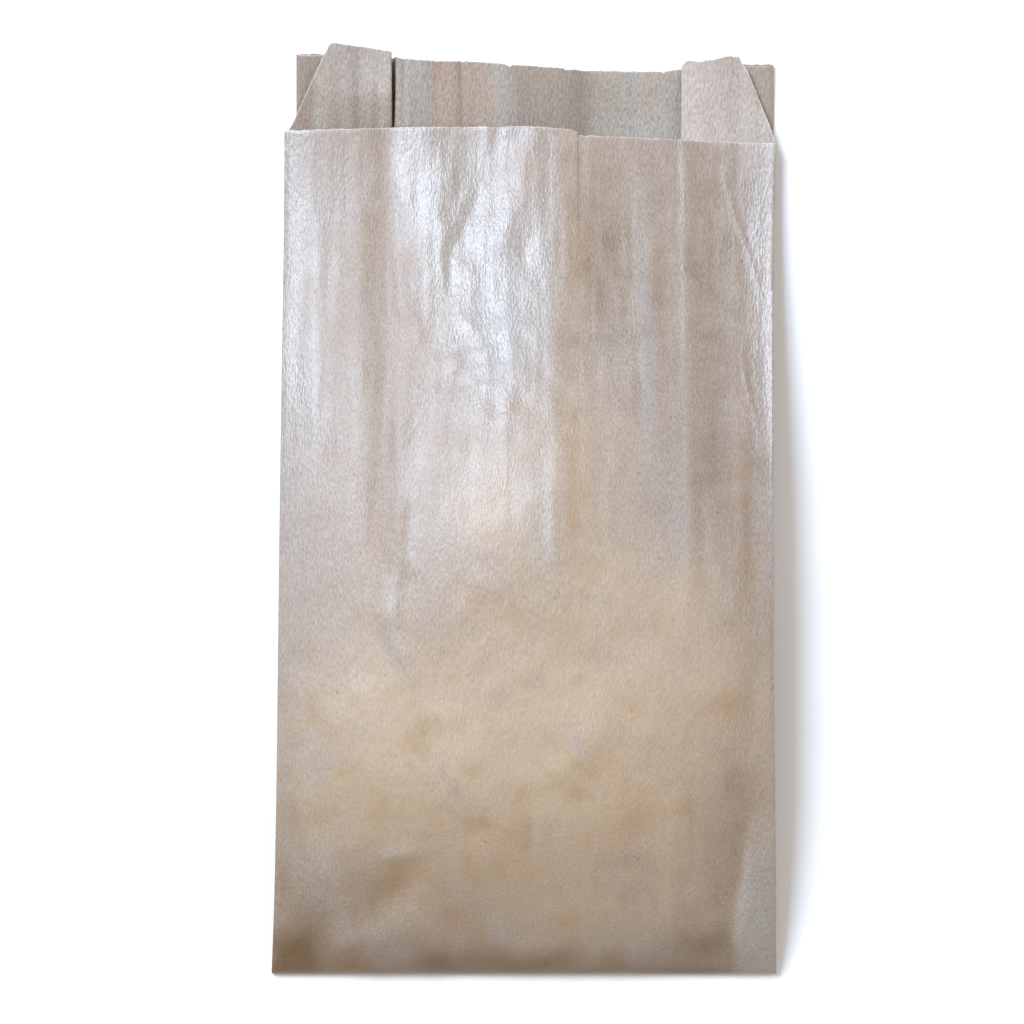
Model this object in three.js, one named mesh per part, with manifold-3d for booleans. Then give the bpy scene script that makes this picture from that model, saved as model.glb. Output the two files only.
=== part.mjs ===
// A croissant bag: a bakery bag of greaseproof kraft paper with side gussets, filled and lying on its back.
// Millimetres. +X is to the right, +Y towards the mouth and +Z up out of the front panel.
// z = 0 is the surface that the bag lies on, and the origin is the middle of its footprint.
import * as THREE from "three";
import { mergeVertices } from "three/addons/utils/BufferGeometryUtils.js";
import Module from "manifold-3d";

const { clamp, lerp, smoothstep, degToRad } = THREE.MathUtils;

// ---------------------------------------------------------------- driving sizes

// the paper bag, before it is filled
const PANEL_WIDTH = 180; // front and back panel, from crease to crease
const GUSSET_HALF = 37; // half of a side gusset, from an outer crease to the inner fold
const BOTTOM_Y = -165.5; // the folded bottom edge
const BOTTOM_FLAP = 15; // the strip that is folded under there and glued to the back
const FRONT_EDGE_Y = 135.6; // the front panel's cut edge, left of the glued seam
const FRONT_EDGE_DROP = 2.4; // the edge is lower by this to the right of the seam
const FRONT_EDGE_SLOPE = 0.038; // and goes on falling towards the right crease
const SEAM_LEFT_X = 10; // the glued lengthwise seam, where the left part lies over the right
const SEAM_RIGHT_X = 18.9;
const SEAM_STEP = 0.5;
const PAPER = 0.9; // the thickness that stands for one sheet of paper

// the filled bag
const CROWN_Z = 47; // its greatest height, over the croissants
const CROWN_Y = -52; // where that is
const FALL_LENGTH = 196; // from there on to the flat mouth
const RISE_LENGTH = 112; // from the bottom edge up to full height
const MOUTH_Z = 5.2; // top of the front panel at the mouth
const BOTTOM_Z = 5.6; // top of the folded bottom edge
const CREASE_DROP = 0.6; // the flat ends' outer creases are pressed down by this
const CREASE_SHARE = 0.5; // height of the outer creases, as a share of the crown's
const DOME_POWER = 2.5; // how full the cross-section is
const BACK_LIFT = 5; // how far the back panel's creases stand off the surface
const BOTTOM_LIFT = 1.8; // and its bottom edge
const BOTTOM_LIFT_LENGTH = 44;
const FLAP_BITE = 0.3; // how far the bottom flap's sheet runs into the back panel
const GUSSET_PUSH = 0.2; // the share of a gusset's depth that the contents push back out
const GUSSET_BOW = 0.14;

// the mouth: the front panel ends first, and the back panel's lip and the two gussets' ears go on
const MOUTH_DEPTH = 34; // how far in the two panels part
const MOUTH_GAP_END_Z = 2.4;
const LIP_START_Y = 92; // the lip's sheet starts this deep inside the body
const EAR_START_Y = 118; // and the ears' sheets here
const LIP_LIFT = 0.3;
const LIP_LEFT_X = -81.2;
const LIP_RIGHT_X = 89;
const LIP_LEFT_Y = 162.6;
const LIP_RIGHT_Y = 158.9;
const CURL = { x: 42, width: 24, shortens: 3.2, rise: 3.4 }; // where the lip's edge curls up
const EAR_OUTER_Z = 3.2; // height of an ear's slanted cut
const EAR_LAYER = 0.7; // how far an ear's back half lies below its front half at the fold
const EAR_INSET = 0.6; // the back half ends this far inside the lip's edge
const LEFT_EAR = { fold: { x: -47.3, y: 163 }, cut: { x: -85.2, y: 136 }, apex: { x: -68.9, y: 166.5 } };
const RIGHT_EAR = { fold: { x: 56.2, y: 159.9 }, cut: { x: 90.2, y: 130.6 }, apex: { x: 77.6, y: 161.4 } };
const LEFT_FOLD_Z = 6.4; // the left ear's fold stands further off the lip than the right one's
const RIGHT_FOLD_Z = 4.6;

// the croissants' swellings in the front panel: middle, half length, half width, turn in degrees, height
const SWELLINGS = [
  { x: -44, y: -92, long: 40, wide: 26, turn: -32, rise: 3.4 },
  { x: 8, y: -112, long: 46, wide: 24, turn: 8, rise: 2.6 },
  { x: 50, y: -66, long: 38, wide: 27, turn: 62, rise: 3.4 },
  { x: -2, y: -14, long: 34, wide: 26, turn: 78, rise: 3.2 },
];
// the hollows between them and at the corners
const HOLLOWS = [
  { x: -49, y: -129, long: 20, wide: 9, turn: 28, rise: -3.2 },
  { x: 16, y: -52, long: 34, wide: 11, turn: -38, rise: -1.4 },
  { x: -78, y: -150, long: 22, wide: 12, turn: 40, rise: -4.2 },
  { x: 80, y: -142, long: 26, wide: 8, turn: 76, rise: -2.6 },
];
// long pleats down the empty part: place at the mouth, slant, half widths on both sides, height, lower end
const PLEATS = [
  { x: 9, slant: 0, left: 44, right: 27, rise: 3.4, end: -40 },
  { x: -57, slant: 0, left: 13, right: 9, rise: -1.3, end: 10 },
  { x: -36, slant: 0.04, left: 9, right: 10, rise: 0.9, end: 20 },
  { x: 40, slant: 0.02, left: 9, right: 9, rise: 1.0, end: -30 },
  { x: 70, slant: 0, left: 12, right: 9, rise: -1.7, end: -60 },
];
const PLEAT_FADE = 60; // over how long a stretch a pleat dies out

// how finely the solids are faceted
const STATIONS = 46; // along the bag
const FRONT_COLUMNS = 30;
const BACK_COLUMNS = 12;
const GUSSET_COLUMNS = 4; // on each half of a gusset
const LIP_COLUMNS = 30;
const EAR_COLUMNS = 8;
const MOUTH_ROWS = 8;

// ---------------------------------------------------------------- the filled bag's form

// 0 at the bottom edge, 1 at the mouth
function along(y) {
  return clamp((y - BOTTOM_Y) / (FRONT_EDGE_Y - BOTTOM_Y), 0, 1);
}

// the outer creases, which the bulging panels pull in a little
const leftX = (y) => -PANEL_WIDTH / 2 + 4.6 * (1 - Math.exp(-(y - BOTTOM_Y) / 55));
const rightX = (y) => PANEL_WIDTH / 2 - 3 * Math.pow(Math.abs(Math.sin(Math.PI * along(y))), 0.7);

// x as a share of the way out from the middle line, -1 at the left crease and 1 at the right one
function across(x, y) {
  const middle = (leftX(y) + rightX(y)) / 2;
  return clamp((x - middle) / (rightX(y) - middle), -1, 1);
}

// how far the bag is filled out at y, from 0 at its flat ends to 1 at the crown
function fullness(y) {
  const up = clamp((y - BOTTOM_Y) / RISE_LENGTH, 0, 1);
  const down = clamp((y - CROWN_Y) / FALL_LENGTH, 0, 1);
  return (1 - Math.pow(1 - up, 2.2)) * 0.5 * (1 + Math.cos(Math.PI * down));
}

const flatZ = (y) => lerp(BOTTOM_Z, MOUTH_Z, along(y));
const crownZ = (y) => lerp(flatZ(y), CROWN_Z, fullness(y));
const creaseZ = (y) => flatZ(y) - CREASE_DROP + CREASE_SHARE * (crownZ(y) - flatZ(y));

// a soft oval swelling, or a hollow where its rise is negative
function oval(x, y, { x: cx, y: cy, long, wide, turn, rise }) {
  const a = degToRad(turn);
  const u = ((x - cx) * Math.cos(a) + (y - cy) * Math.sin(a)) / long;
  const v = ((y - cy) * Math.cos(a) - (x - cx) * Math.sin(a)) / wide;
  return rise * Math.exp(-u * u - v * v);
}

// a pleat, which flattens a little towards the mouth
function pleat(x, y, { x: cx, slant, left, right, rise, end }) {
  const away = x - cx + slant * (FRONT_EDGE_Y - y);
  const s = away / (away < 0 ? left : right);
  const fade = smoothstep(y, end, end + PLEAT_FADE) * (1 - 0.35 * smoothstep(y, 100, FRONT_EDGE_Y));
  return rise * Math.exp(-s * s) * fade;
}

// the front panel
function frontZ(x, y) {
  const out = Math.abs(across(x, y));
  const dome = lerp(creaseZ(y), crownZ(y), 1 - Math.pow(out, DOME_POWER));
  let relief = 0;
  for (const one of [...SWELLINGS, ...HOLLOWS]) relief += oval(x, y, one) * fullness(y);
  for (const one of PLEATS) relief += pleat(x, y, one);
  const overlap = x > SEAM_RIGHT_X ? 0 : SEAM_STEP * smoothstep(x, SEAM_LEFT_X - 3, SEAM_LEFT_X + 1);
  return dome + relief * (1 - Math.pow(out, 8)) + overlap;
}

// the back panel, flat on the surface but for its creases and its bottom edge
function backZ(x, y) {
  const crease = BACK_LIFT * fullness(y) * smoothstep(Math.abs(across(x, y)), 0.62, 1);
  const bottom = BOTTOM_LIFT * (1 - smoothstep(y, BOTTOM_Y, BOTTOM_Y + BOTTOM_LIFT_LENGTH));
  return Math.max(crease, bottom);
}

// the front panel's cut edge
function frontEdgeY(x) {
  const drop = FRONT_EDGE_DROP * smoothstep(x, SEAM_LEFT_X, SEAM_LEFT_X + 16);
  return FRONT_EDGE_Y - drop - FRONT_EDGE_SLOPE * Math.max(0, x - SEAM_RIGHT_X);
}

// 1 where the lip's edge curls up, fading out to both sides
const curl = (x) => Math.exp(-(((x - CURL.x) / CURL.width) ** 2));

// the back panel's cut edge
function lipEdgeY(x) {
  return lerp(LIP_LEFT_Y, LIP_RIGHT_Y, smoothstep(x, -110, 40)) - CURL.shortens * curl(x);
}

// the lip's underside, with a soft wave
function lipZ(x, y) {
  const free = smoothstep(y, FRONT_EDGE_Y, FRONT_EDGE_Y + 22);
  return LIP_LIFT + free * (0.4 + 0.35 * Math.sin(x / 13) + CURL.rise * curl(x) * free);
}

// ---------------------------------------------------------------- solids

const wasm = await Module();
wasm.setup();

// a closed three.js geometry as a manifold-3d solid
function solidOf(geometry) {
  const merged = mergeVertices(geometry, 1e-4);
  return new wasm.Manifold(
    new wasm.Mesh({
      numProp: 3,
      vertProperties: merged.attributes.position.array,
      triVerts: new Uint32Array(merged.index.array),
    }),
  );
}

// a manifold-3d solid as a three.js geometry
function geometryOf(solid) {
  const { vertProperties, triVerts, numProp } = solid.getMesh();
  const position = [];
  for (let i = 0; i < vertProperties.length; i += numProp) {
    position.push(vertProperties[i], vertProperties[i + 1], vertProperties[i + 2]);
  }
  const geometry = new THREE.BufferGeometry();
  geometry.setAttribute("position", new THREE.Float32BufferAttribute(position, 3));
  geometry.setIndex([...triVerts]);
  geometry.computeVertexNormals();
  return geometry;
}

// A closed body through rings of points, with a flat end at each end. Seen from the bottom edge, a ring's
// points run clockwise.
function loft(rings) {
  const n = rings[0].length;
  const index = [];
  for (let r = 0; r + 1 < rings.length; r++) {
    for (let i = 0; i < n; i++) {
      const a = r * n + i;
      const b = r * n + ((i + 1) % n);
      index.push(a, b, a + n, b, b + n, a + n);
    }
  }
  const end = (ring) => THREE.ShapeUtils.triangulateShape(ring.map((p) => new THREE.Vector2(p.x, p.z)), []);
  const last = (rings.length - 1) * n;
  for (const [a, b, c] of end(rings[0])) index.push(a, b, c);
  for (const [a, b, c] of end(rings.at(-1))) index.push(last + a, last + c, last + b);
  const position = rings.flat().flatMap((p) => [p.x, p.y, p.z]);
  const geometry = new THREE.BufferGeometry();
  geometry.setAttribute("position", new THREE.Float32BufferAttribute(position, 3));
  geometry.setIndex(index);
  return solidOf(geometry);
}

// a sheet between two faces, upper(u, v) and lower(u, v), for u across and v along, both from 0 to 1
function sheet(upper, lower, columns, rows) {
  const rings = [];
  for (let r = 0; r <= rows; r++) {
    const row = (face) => Array.from({ length: columns + 1 }, (_, c) => face(c / columns, r / rows));
    rings.push([...row(upper), ...row(lower).reverse()]);
  }
  return loft(rings);
}

// a sheet of paper, whose upper face is place(u, v)
function paperSheet(place, columns, rows) {
  const lower = (u, v) => place(u, v).sub(new THREE.Vector3(0, 0, PAPER));
  return sheet(place, lower, columns, rows);
}

// the points strictly between two others, bowed upwards by rise
function between(from, to, count, rise) {
  return Array.from({ length: count }, (_, i) => {
    const t = (i + 1) / (count + 1);
    const point = from.clone().lerp(to, t);
    point.z += rise * 4 * t * (1 - t);
    return point;
  });
}

// one side gusset in a ring, from the front crease in to the inner fold and out to the back crease
function gusset(front, back, inwards) {
  const upper = front.clone().add(new THREE.Vector3(0, 0, -PAPER));
  const lower = back.clone().add(new THREE.Vector3(0, 0, PAPER));
  const half = (upper.z - lower.z) / 2;
  const reach = Math.sqrt(GUSSET_HALF ** 2 - half ** 2) * (1 - GUSSET_PUSH * fullness(front.y));
  const fold = upper.clone().lerp(lower, 0.5).add(new THREE.Vector3(inwards * reach, 0, 0));
  const bow = GUSSET_BOW * half;
  return [
    upper,
    ...between(upper, fold, GUSSET_COLUMNS - 1, -bow),
    fold,
    ...between(fold, lower, GUSSET_COLUMNS - 1, bow),
    lower,
  ];
}

// the front panel's columns at y, two of which make the step at the seam's free edge
function frontColumns(y) {
  const left = Math.round(FRONT_COLUMNS * (0.5 + SEAM_RIGHT_X / PANEL_WIDTH));
  const right = FRONT_COLUMNS - left;
  const xs = [];
  for (let i = 0; i <= left; i++) xs.push(lerp(leftX(y), SEAM_RIGHT_X, i / left));
  for (let i = 0; i <= right; i++) xs.push(lerp(SEAM_RIGHT_X + 0.4, rightX(y), i / right));
  return xs;
}

// the filled body's outline at one place along it, whose last stretch follows the front panel's cut edge
function ring(t) {
  const y = lerp(BOTTOM_Y, FRONT_EDGE_Y, t);
  const follow = smoothstep(y, FRONT_EDGE_Y - 40, FRONT_EDGE_Y);
  const place = (x, z) => new THREE.Vector3(x, y + follow * (frontEdgeY(x) - FRONT_EDGE_Y), z(x, y));
  const front = frontColumns(y).map((x) => place(x, frontZ));
  const backX = (i) => lerp(rightX(y), leftX(y), i / BACK_COLUMNS);
  const back = Array.from({ length: BACK_COLUMNS + 1 }, (_, i) => place(backX(i), backZ));
  return [
    ...front,
    ...gusset(front.at(-1), back[0], -1),
    ...back,
    ...gusset(front[0], back.at(-1), 1).reverse(),
  ];
}

// the filled body, with its stations closer together at the steep bottom end
function body() {
  return loft(Array.from({ length: STATIONS + 1 }, (_, i) => ring((i / STATIONS) ** 1.3)));
}

// the thin gap between the two panels at the mouth, which closes further in
function mouthGap() {
  const face = (z, margin) => (u, v) => {
    const x = lerp(LEFT_EAR.fold.x + 1.2, RIGHT_EAR.fold.x - 1.2, u);
    const inner = frontEdgeY(x) - MOUTH_DEPTH;
    const y = lerp(inner, frontEdgeY(x) + 3, v);
    const open = smoothstep(y, inner, frontEdgeY(x) - 6);
    return new THREE.Vector3(x, y, lerp(MOUTH_GAP_END_Z, z(x, Math.min(y, FRONT_EDGE_Y)), open) + margin);
  };
  const upper = face((x, y) => frontZ(x, y) - PAPER, 0.15);
  const lower = face(() => PAPER, -0.15);
  return sheet(upper, lower, 16, MOUTH_ROWS);
}

// the lip: the back panel's end, which the front panel leaves bare
function lip() {
  const place = (u, v) => {
    const free = smoothstep(v, 0.5, 0.75);
    const left = lerp(leftX(FRONT_EDGE_Y) + 1, LIP_LEFT_X, free);
    const right = lerp(rightX(FRONT_EDGE_Y) - 1.6, LIP_RIGHT_X, free);
    const x = lerp(left, right, u);
    const y = lerp(LIP_START_Y, lipEdgeY(x), v);
    return new THREE.Vector3(x, y, lipZ(x, y) + PAPER);
  };
  return paperSheet(place, LIP_COLUMNS, 2 * MOUTH_ROWS);
}

// An ear: a gusset's end, above the front panel's edge. Its front half is cut off at a slant. Its back half
// lies under that, over the lip, and the two meet at the gusset's inner fold.
function ear({ fold, cut, apex }, backX, foldZ) {
  const leftward = apex.x < fold.x;
  const half = (outerX, outerY, held, loose) => {
    const place = (u, v) => {
      const out = leftward ? 1 - u : u;
      const y = lerp(EAR_START_Y, lerp(fold.y, outerY, out), v);
      const x = lerp(fold.x, outerX(y), out);
      const z = lerp(held(x, y, out), loose(out), smoothstep(y, FRONT_EDGE_Y - 4, FRONT_EDGE_Y + 14));
      return new THREE.Vector3(x, y, z);
    };
    return paperSheet(place, EAR_COLUMNS, MOUTH_ROWS);
  };
  const slant = (y) => lerp(cut.x, apex.x, clamp((y - cut.y) / (apex.y - cut.y), 0, 1));
  const underFront = (x, y) => Math.min(frontZ(x, Math.min(y, FRONT_EDGE_Y)) - 0.6 * PAPER, foldZ);
  const front = half(slant, apex.y, underFront, (out) => lerp(foldZ, EAR_OUTER_Z, out));
  const back = half(
    () => backX,
    lipEdgeY(backX) - 0.6,
    (x, y, out) => lerp(underFront(x, y) - EAR_LAYER, 1.5 * PAPER, out),
    (out) => lerp(foldZ - EAR_LAYER, LIP_LIFT + 1.9 * PAPER, out),
  );
  return [front, back];
}

// the strip that is folded under at the bottom edge and glued to the back
function flap() {
  const place = (u, v) => {
    const y = BOTTOM_Y + 0.4 + BOTTOM_FLAP * v;
    const x = lerp(leftX(y) + 1, rightX(y) - 1, u);
    return new THREE.Vector3(x, y, backZ(x, y) + FLAP_BITE);
  };
  return paperSheet(place, BACK_COLUMNS, 3);
}

const root = new THREE.Group();
const paper = new THREE.MeshStandardMaterial({ color: "#b5a293", roughness: 0.5, metalness: 0 });
const sheets = [
  lip(),
  flap(),
  ...ear(LEFT_EAR, LIP_LEFT_X + EAR_INSET, LEFT_FOLD_Z),
  ...ear(RIGHT_EAR, LIP_RIGHT_X - EAR_INSET, RIGHT_FOLD_Z),
];
const whole = sheets.reduce((joined, one) => joined.add(one), body().subtract(mouthGap()));
const bag = new THREE.Mesh(geometryOf(whole), paper);
bag.name = "bag";
root.add(bag);

export default root;
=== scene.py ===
# %% [markdown]
# # A croissant bag
# The real thing is one sheet of greaseproof kraft paper, rolled into a tube, glued along its front,
# pleated in at both sides and folded shut at the bottom. Croissants fill its lower half, and it lies on
# its back. We build it the same way: a few thin closed sheets, whose places come from formulas for the
# filled bag's form. Formulas suit paper better than sculpting here, since every crease, cut edge and
# layer has to meet its neighbour exactly.

# %% Load the frame
import bpy
import numpy as np
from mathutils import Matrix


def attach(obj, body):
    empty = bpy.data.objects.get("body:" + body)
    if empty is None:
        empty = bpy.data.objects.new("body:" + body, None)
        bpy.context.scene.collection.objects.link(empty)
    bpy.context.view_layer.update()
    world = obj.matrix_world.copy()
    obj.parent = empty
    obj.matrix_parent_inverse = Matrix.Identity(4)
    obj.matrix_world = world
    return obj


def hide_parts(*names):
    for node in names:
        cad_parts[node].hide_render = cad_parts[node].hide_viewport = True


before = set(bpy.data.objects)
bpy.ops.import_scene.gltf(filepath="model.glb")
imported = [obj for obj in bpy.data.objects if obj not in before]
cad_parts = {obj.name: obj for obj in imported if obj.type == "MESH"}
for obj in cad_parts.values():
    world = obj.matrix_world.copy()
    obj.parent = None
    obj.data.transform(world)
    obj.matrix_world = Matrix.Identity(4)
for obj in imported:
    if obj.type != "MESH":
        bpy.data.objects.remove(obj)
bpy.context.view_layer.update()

# %% [markdown]
# ## The camera
# The photograph looks straight down on the bag. A long lens from a little over a metre keeps the creases
# almost parallel, as they are there. The camera comes first, so that every later step can be looked at.

# %% Camera, straight above the bag
MM = 0.001  # forms are worked out in millimetres, and meshes are in metres
CAMERA_PLACE = (-4.3, -0.9, 1100)
VIEW_WIDTH = 365.6  # how much of the floor the picture takes in
SENSOR = 36

lens = bpy.data.cameras.new("overhead")
lens.sensor_width = SENSOR
lens.lens = SENSOR * CAMERA_PLACE[2] / VIEW_WIDTH
camera = bpy.data.objects.new("overhead", lens)
camera.location = [v * MM for v in CAMERA_PLACE]
bpy.context.scene.collection.objects.link(camera)
bpy.context.scene.camera = camera
print("lens", round(lens.lens, 1), "mm")

# %% [markdown]
# ## The filled bag's form
# An empty bag is flat: two panels 180 mm wide, with a 37 mm pleat tucked in at each side. Filling it
# lifts the front panel into a long dome, steep at the bottom fold and falling slowly to the flat mouth.
# One number, how full the bag is at a place along it, sets the height of both panels and of the side
# creases, so these can't drift apart.

# %% Sizes of the empty bag
PANEL_WIDTH = 180
GUSSET_HALF = 37  # how deep each pleat is
BOTTOM_Y = -165.5  # the bottom fold
FRONT_EDGE_Y = 135.6  # the front panel's cut edge at the mouth
SEAM_LEFT_X, SEAM_RIGHT_X = 10, 18.9  # the glued overlap in the front panel


def mix(a, b, t):
    return a + (b - a) * t


def smooth(v, a, b):
    """0 up to a, 1 from b on, and a soft step between."""
    t = np.clip((v - a) / (b - a), 0, 1)
    return t * t * (3 - 2 * t)


def along(y):
    """0 at the bottom fold, 1 at the mouth."""
    return np.clip((y - BOTTOM_Y) / (FRONT_EDGE_Y - BOTTOM_Y), 0, 1)


print("the empty front panel is", PANEL_WIDTH, "x", round(FRONT_EDGE_Y - BOTTOM_Y, 1), "mm")

# %% Where the side creases run: filling the bag pulls them in
LEFT_PULL, LEFT_PULL_LENGTH = 4.6, 55
RIGHT_PULL, RIGHT_PULL_POWER = 3, 0.7


def left_x(y):
    return -PANEL_WIDTH / 2 + LEFT_PULL * (1 - np.exp(-(y - BOTTOM_Y) / LEFT_PULL_LENGTH))


def right_x(y):
    return PANEL_WIDTH / 2 - RIGHT_PULL * np.abs(np.sin(np.pi * along(y))) ** RIGHT_PULL_POWER


def across(x, y):
    """-1 at the left crease, 1 at the right one."""
    middle = (left_x(y) + right_x(y)) / 2
    return np.clip((x - middle) / (right_x(y) - middle), -1, 1)


print("the filled front panel is", round(float(right_x(0.0) - left_x(0.0)), 1), "mm wide")

# %% How full the bag is, and the heights that follow
CROWN_Z, CROWN_Y = 47, -52  # the top of the plain dome
RISE_LENGTH, RISE_POWER = 112, 2.2  # how the dome climbs from the bottom fold
FALL_LENGTH = 196  # and over what length it falls towards the mouth
MOUTH_Z, BOTTOM_Z = 5.2, 5.6  # the front panel's height at its flat ends
CREASE_DROP, CREASE_SHARE = 0.6, 0.5  # the side creases rise half as far as the crown
BACK_LIFT, BACK_LIFT_FROM = 5, 0.62  # the back panel leaves the floor near its creases
BOTTOM_LIFT, BOTTOM_LIFT_LENGTH = 1.8, 44  # and at the bottom fold, over the flap


def fullness(y):
    """How far the bag is filled out, from 0 at its flat ends to 1 at the crown."""
    up = np.clip((y - BOTTOM_Y) / RISE_LENGTH, 0, 1)
    down = np.clip((y - CROWN_Y) / FALL_LENGTH, 0, 1)
    return (1 - (1 - up) ** RISE_POWER) * 0.5 * (1 + np.cos(np.pi * down))


def crown_z(y):
    return mix(mix(BOTTOM_Z, MOUTH_Z, along(y)), CROWN_Z, fullness(y))


def crease_z(y):
    flat = mix(BOTTOM_Z, MOUTH_Z, along(y))
    return flat - CREASE_DROP + CREASE_SHARE * (crown_z(y) - flat)


def back_z(x, y):
    """The back panel lies flat, but for its creases and its bottom edge."""
    crease = BACK_LIFT * fullness(y) * smooth(np.abs(across(x, y)), BACK_LIFT_FROM, 1)
    bottom = BOTTOM_LIFT * (1 - smooth(y, BOTTOM_Y, BOTTOM_Y + BOTTOM_LIFT_LENGTH))
    return np.maximum(crease, bottom)


print("height at the crown", crown_z(CROWN_Y), "mm")
print("height at its side creases", round(float(crease_z(CROWN_Y)), 1), "mm")

# %% [markdown]
# ## What the croissants do to it
# The croissants press soft swellings into the front, and leave hollows between them. In the empty part
# above them the paper falls into long pleats, and the stiff glued strip keeps it up in one ridge. Soft
# ovals and long bell curves are enough for all of them, and each can be moved on its own.

# %% Swellings and hollows
# middle x, y, half length, half width, turn in degrees, height
SWELLINGS = [
    (-44, -92, 40, 26, -32, 3.4),
    (8, -112, 46, 24, 8, 2.6),
    (50, -66, 38, 27, 62, 3.4),
    (-2, -14, 34, 26, 78, 3.2),
    (-50, -140, 18, 10, 28, -2.8),
    (16, -52, 34, 11, -38, -1.4),
    (-78, -150, 22, 12, 40, -4.2),
    (-72, -139, 7, 6, 10, 1.3),
    (-45.5, -149, 9, 5, 42, 1.4),
    (-7, -149, 10, 5, -8, 1.2),
    (19, -83, 9, 6, 39, 1.1),
    (6, 5.5, 8, 6, 47, 0.9),
    (71, -43, 8, 7, 90, -1.0),
    (60.5, -131, 8, 6, 100, -1.0),
]


def oval(x, y, cx, cy, long, wide, turn):
    """1 in the middle of a soft oval, fading to 0."""
    a = np.radians(turn)
    u = ((x - cx) * np.cos(a) + (y - cy) * np.sin(a)) / long
    v = ((y - cy) * np.cos(a) - (x - cx) * np.sin(a)) / wide
    return np.exp(-u * u - v * v)


def ovals(x, y, listed):
    """The sum of many soft ovals, whose last number is each one's strength."""
    return sum(strength * oval(x, y, *place) for *place, strength in listed)


print(len(SWELLINGS), "swellings and hollows")

# %% Long pleats
# x at the mouth, slant, half width to the left and to the right, height, lower end
PLEATS = [
    (-48.6, 0, 4.8, 3.2, -1.15, -50),
    (-36, 0.04, 9, 10, 0.9, 20),
    (40, 0.02, 9, 9, 0.9, -30),
    (75, 0, 22, 8, -1.8, -60),
]
PLEAT_FADE = 60  # over what length a pleat grows out of the flat paper
PLEAT_EASE, PLEAT_EASE_Y = 0.2, 100  # how much of it goes again, from there to the cut edge


def pleat(x, y, cx, slant, left, right, rise, end):
    away = x - cx + slant * (FRONT_EDGE_Y - y)
    s = away / np.where(away < 0, left, right)
    fade = smooth(y, end, end + PLEAT_FADE) * (1 - PLEAT_EASE * smooth(y, PLEAT_EASE_Y, FRONT_EDGE_Y))
    return rise * np.exp(-s * s) * fade


print(len(PLEATS), "long pleats")

# %% The ridge over the glued strip
CREST_X, CREST_LEFT, CREST_RIGHT, CREST_RISE = 7.3, 41, 32, 6.6
CREST_POWER = 1.25  # under 2, so that its flanks are straighter than a bell curve's
CREST_SOFT, CREST_SHARP = 0.22, 0.08  # how blunt its top is, low on the bag and near the mouth
CREST_SHARPEN_Y = (30, 110)
CREST_END, CREST_FADE = -70, 110
CREST_EASE, CREST_EASE_Y = 0.45, 95
CALM_POWER = 8  # how close to the side creases the relief reaches


def crest(x, y):
    """One long ridge, which breaks sharply at the top near the mouth."""
    away = x - CREST_X
    blunt = mix(CREST_SOFT, CREST_SHARP, smooth(y, *CREST_SHARPEN_Y))
    s = np.sqrt((away / np.where(away < 0, CREST_LEFT, CREST_RIGHT)) ** 2 + blunt**2) - blunt
    fade = smooth(y, CREST_END, CREST_END + CREST_FADE)
    fade = fade * (1 - CREST_EASE * smooth(y, CREST_EASE_Y, FRONT_EDGE_Y + 4))
    return CREST_RISE * np.exp(-(s**CREST_POWER)) * fade


def big_relief(x, y):
    swell = ovals(x, y, SWELLINGS) * fullness(y)
    pleats = sum(pleat(x, y, *p) for p in PLEATS)
    return (swell + crest(x, y) + pleats) * (1 - np.abs(across(x, y)) ** CALM_POWER)


print("the ridge stands", round(float(crest(CREST_X, 60)), 1), "mm above the dome at its highest")

# %% [markdown]
# ## Creases and crumples
# Up close the paper is never smooth. Some creases can be named, because they catch the light: each is a
# short line of points with a soft ridge or a sharp fold across it. Between them lies a finer crumple,
# which nobody could place by hand, so it comes from seeded noise. Greaseproof paper is stiff along its
# length, so most of that noise is stretched that way, and only the ripples just above the croissants run
# across.

# %% Helper: where a place lies beside a line
def near_line(x, y, points):
    """How far each place is from a line, whether it is right of it, and how far down the line it is."""
    best = np.full(np.shape(x), 1e9)
    right = np.zeros(np.shape(x), bool)
    share = np.zeros(np.shape(x))
    lengths = [np.hypot(b[0] - a[0], b[1] - a[1]) for a, b in zip(points, points[1:])]
    passed = 0.0
    for (ax, ay), (bx, by), length in zip(points, points[1:], lengths):
        dx, dy = bx - ax, by - ay
        t = np.clip(((x - ax) * dx + (y - ay) * dy) / length**2, 0, 1)
        away = np.hypot(x - ax - t * dx, y - ay - t * dy)
        nearer = away < best
        best = np.where(nearer, away, best)
        right = np.where(nearer, (x - ax) * dy - (y - ay) * dx < 0, right)
        share = np.where(nearer, (passed + t * length) / sum(lengths), share)
        passed += length
    return best, right, share


print("helper ready")

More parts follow.
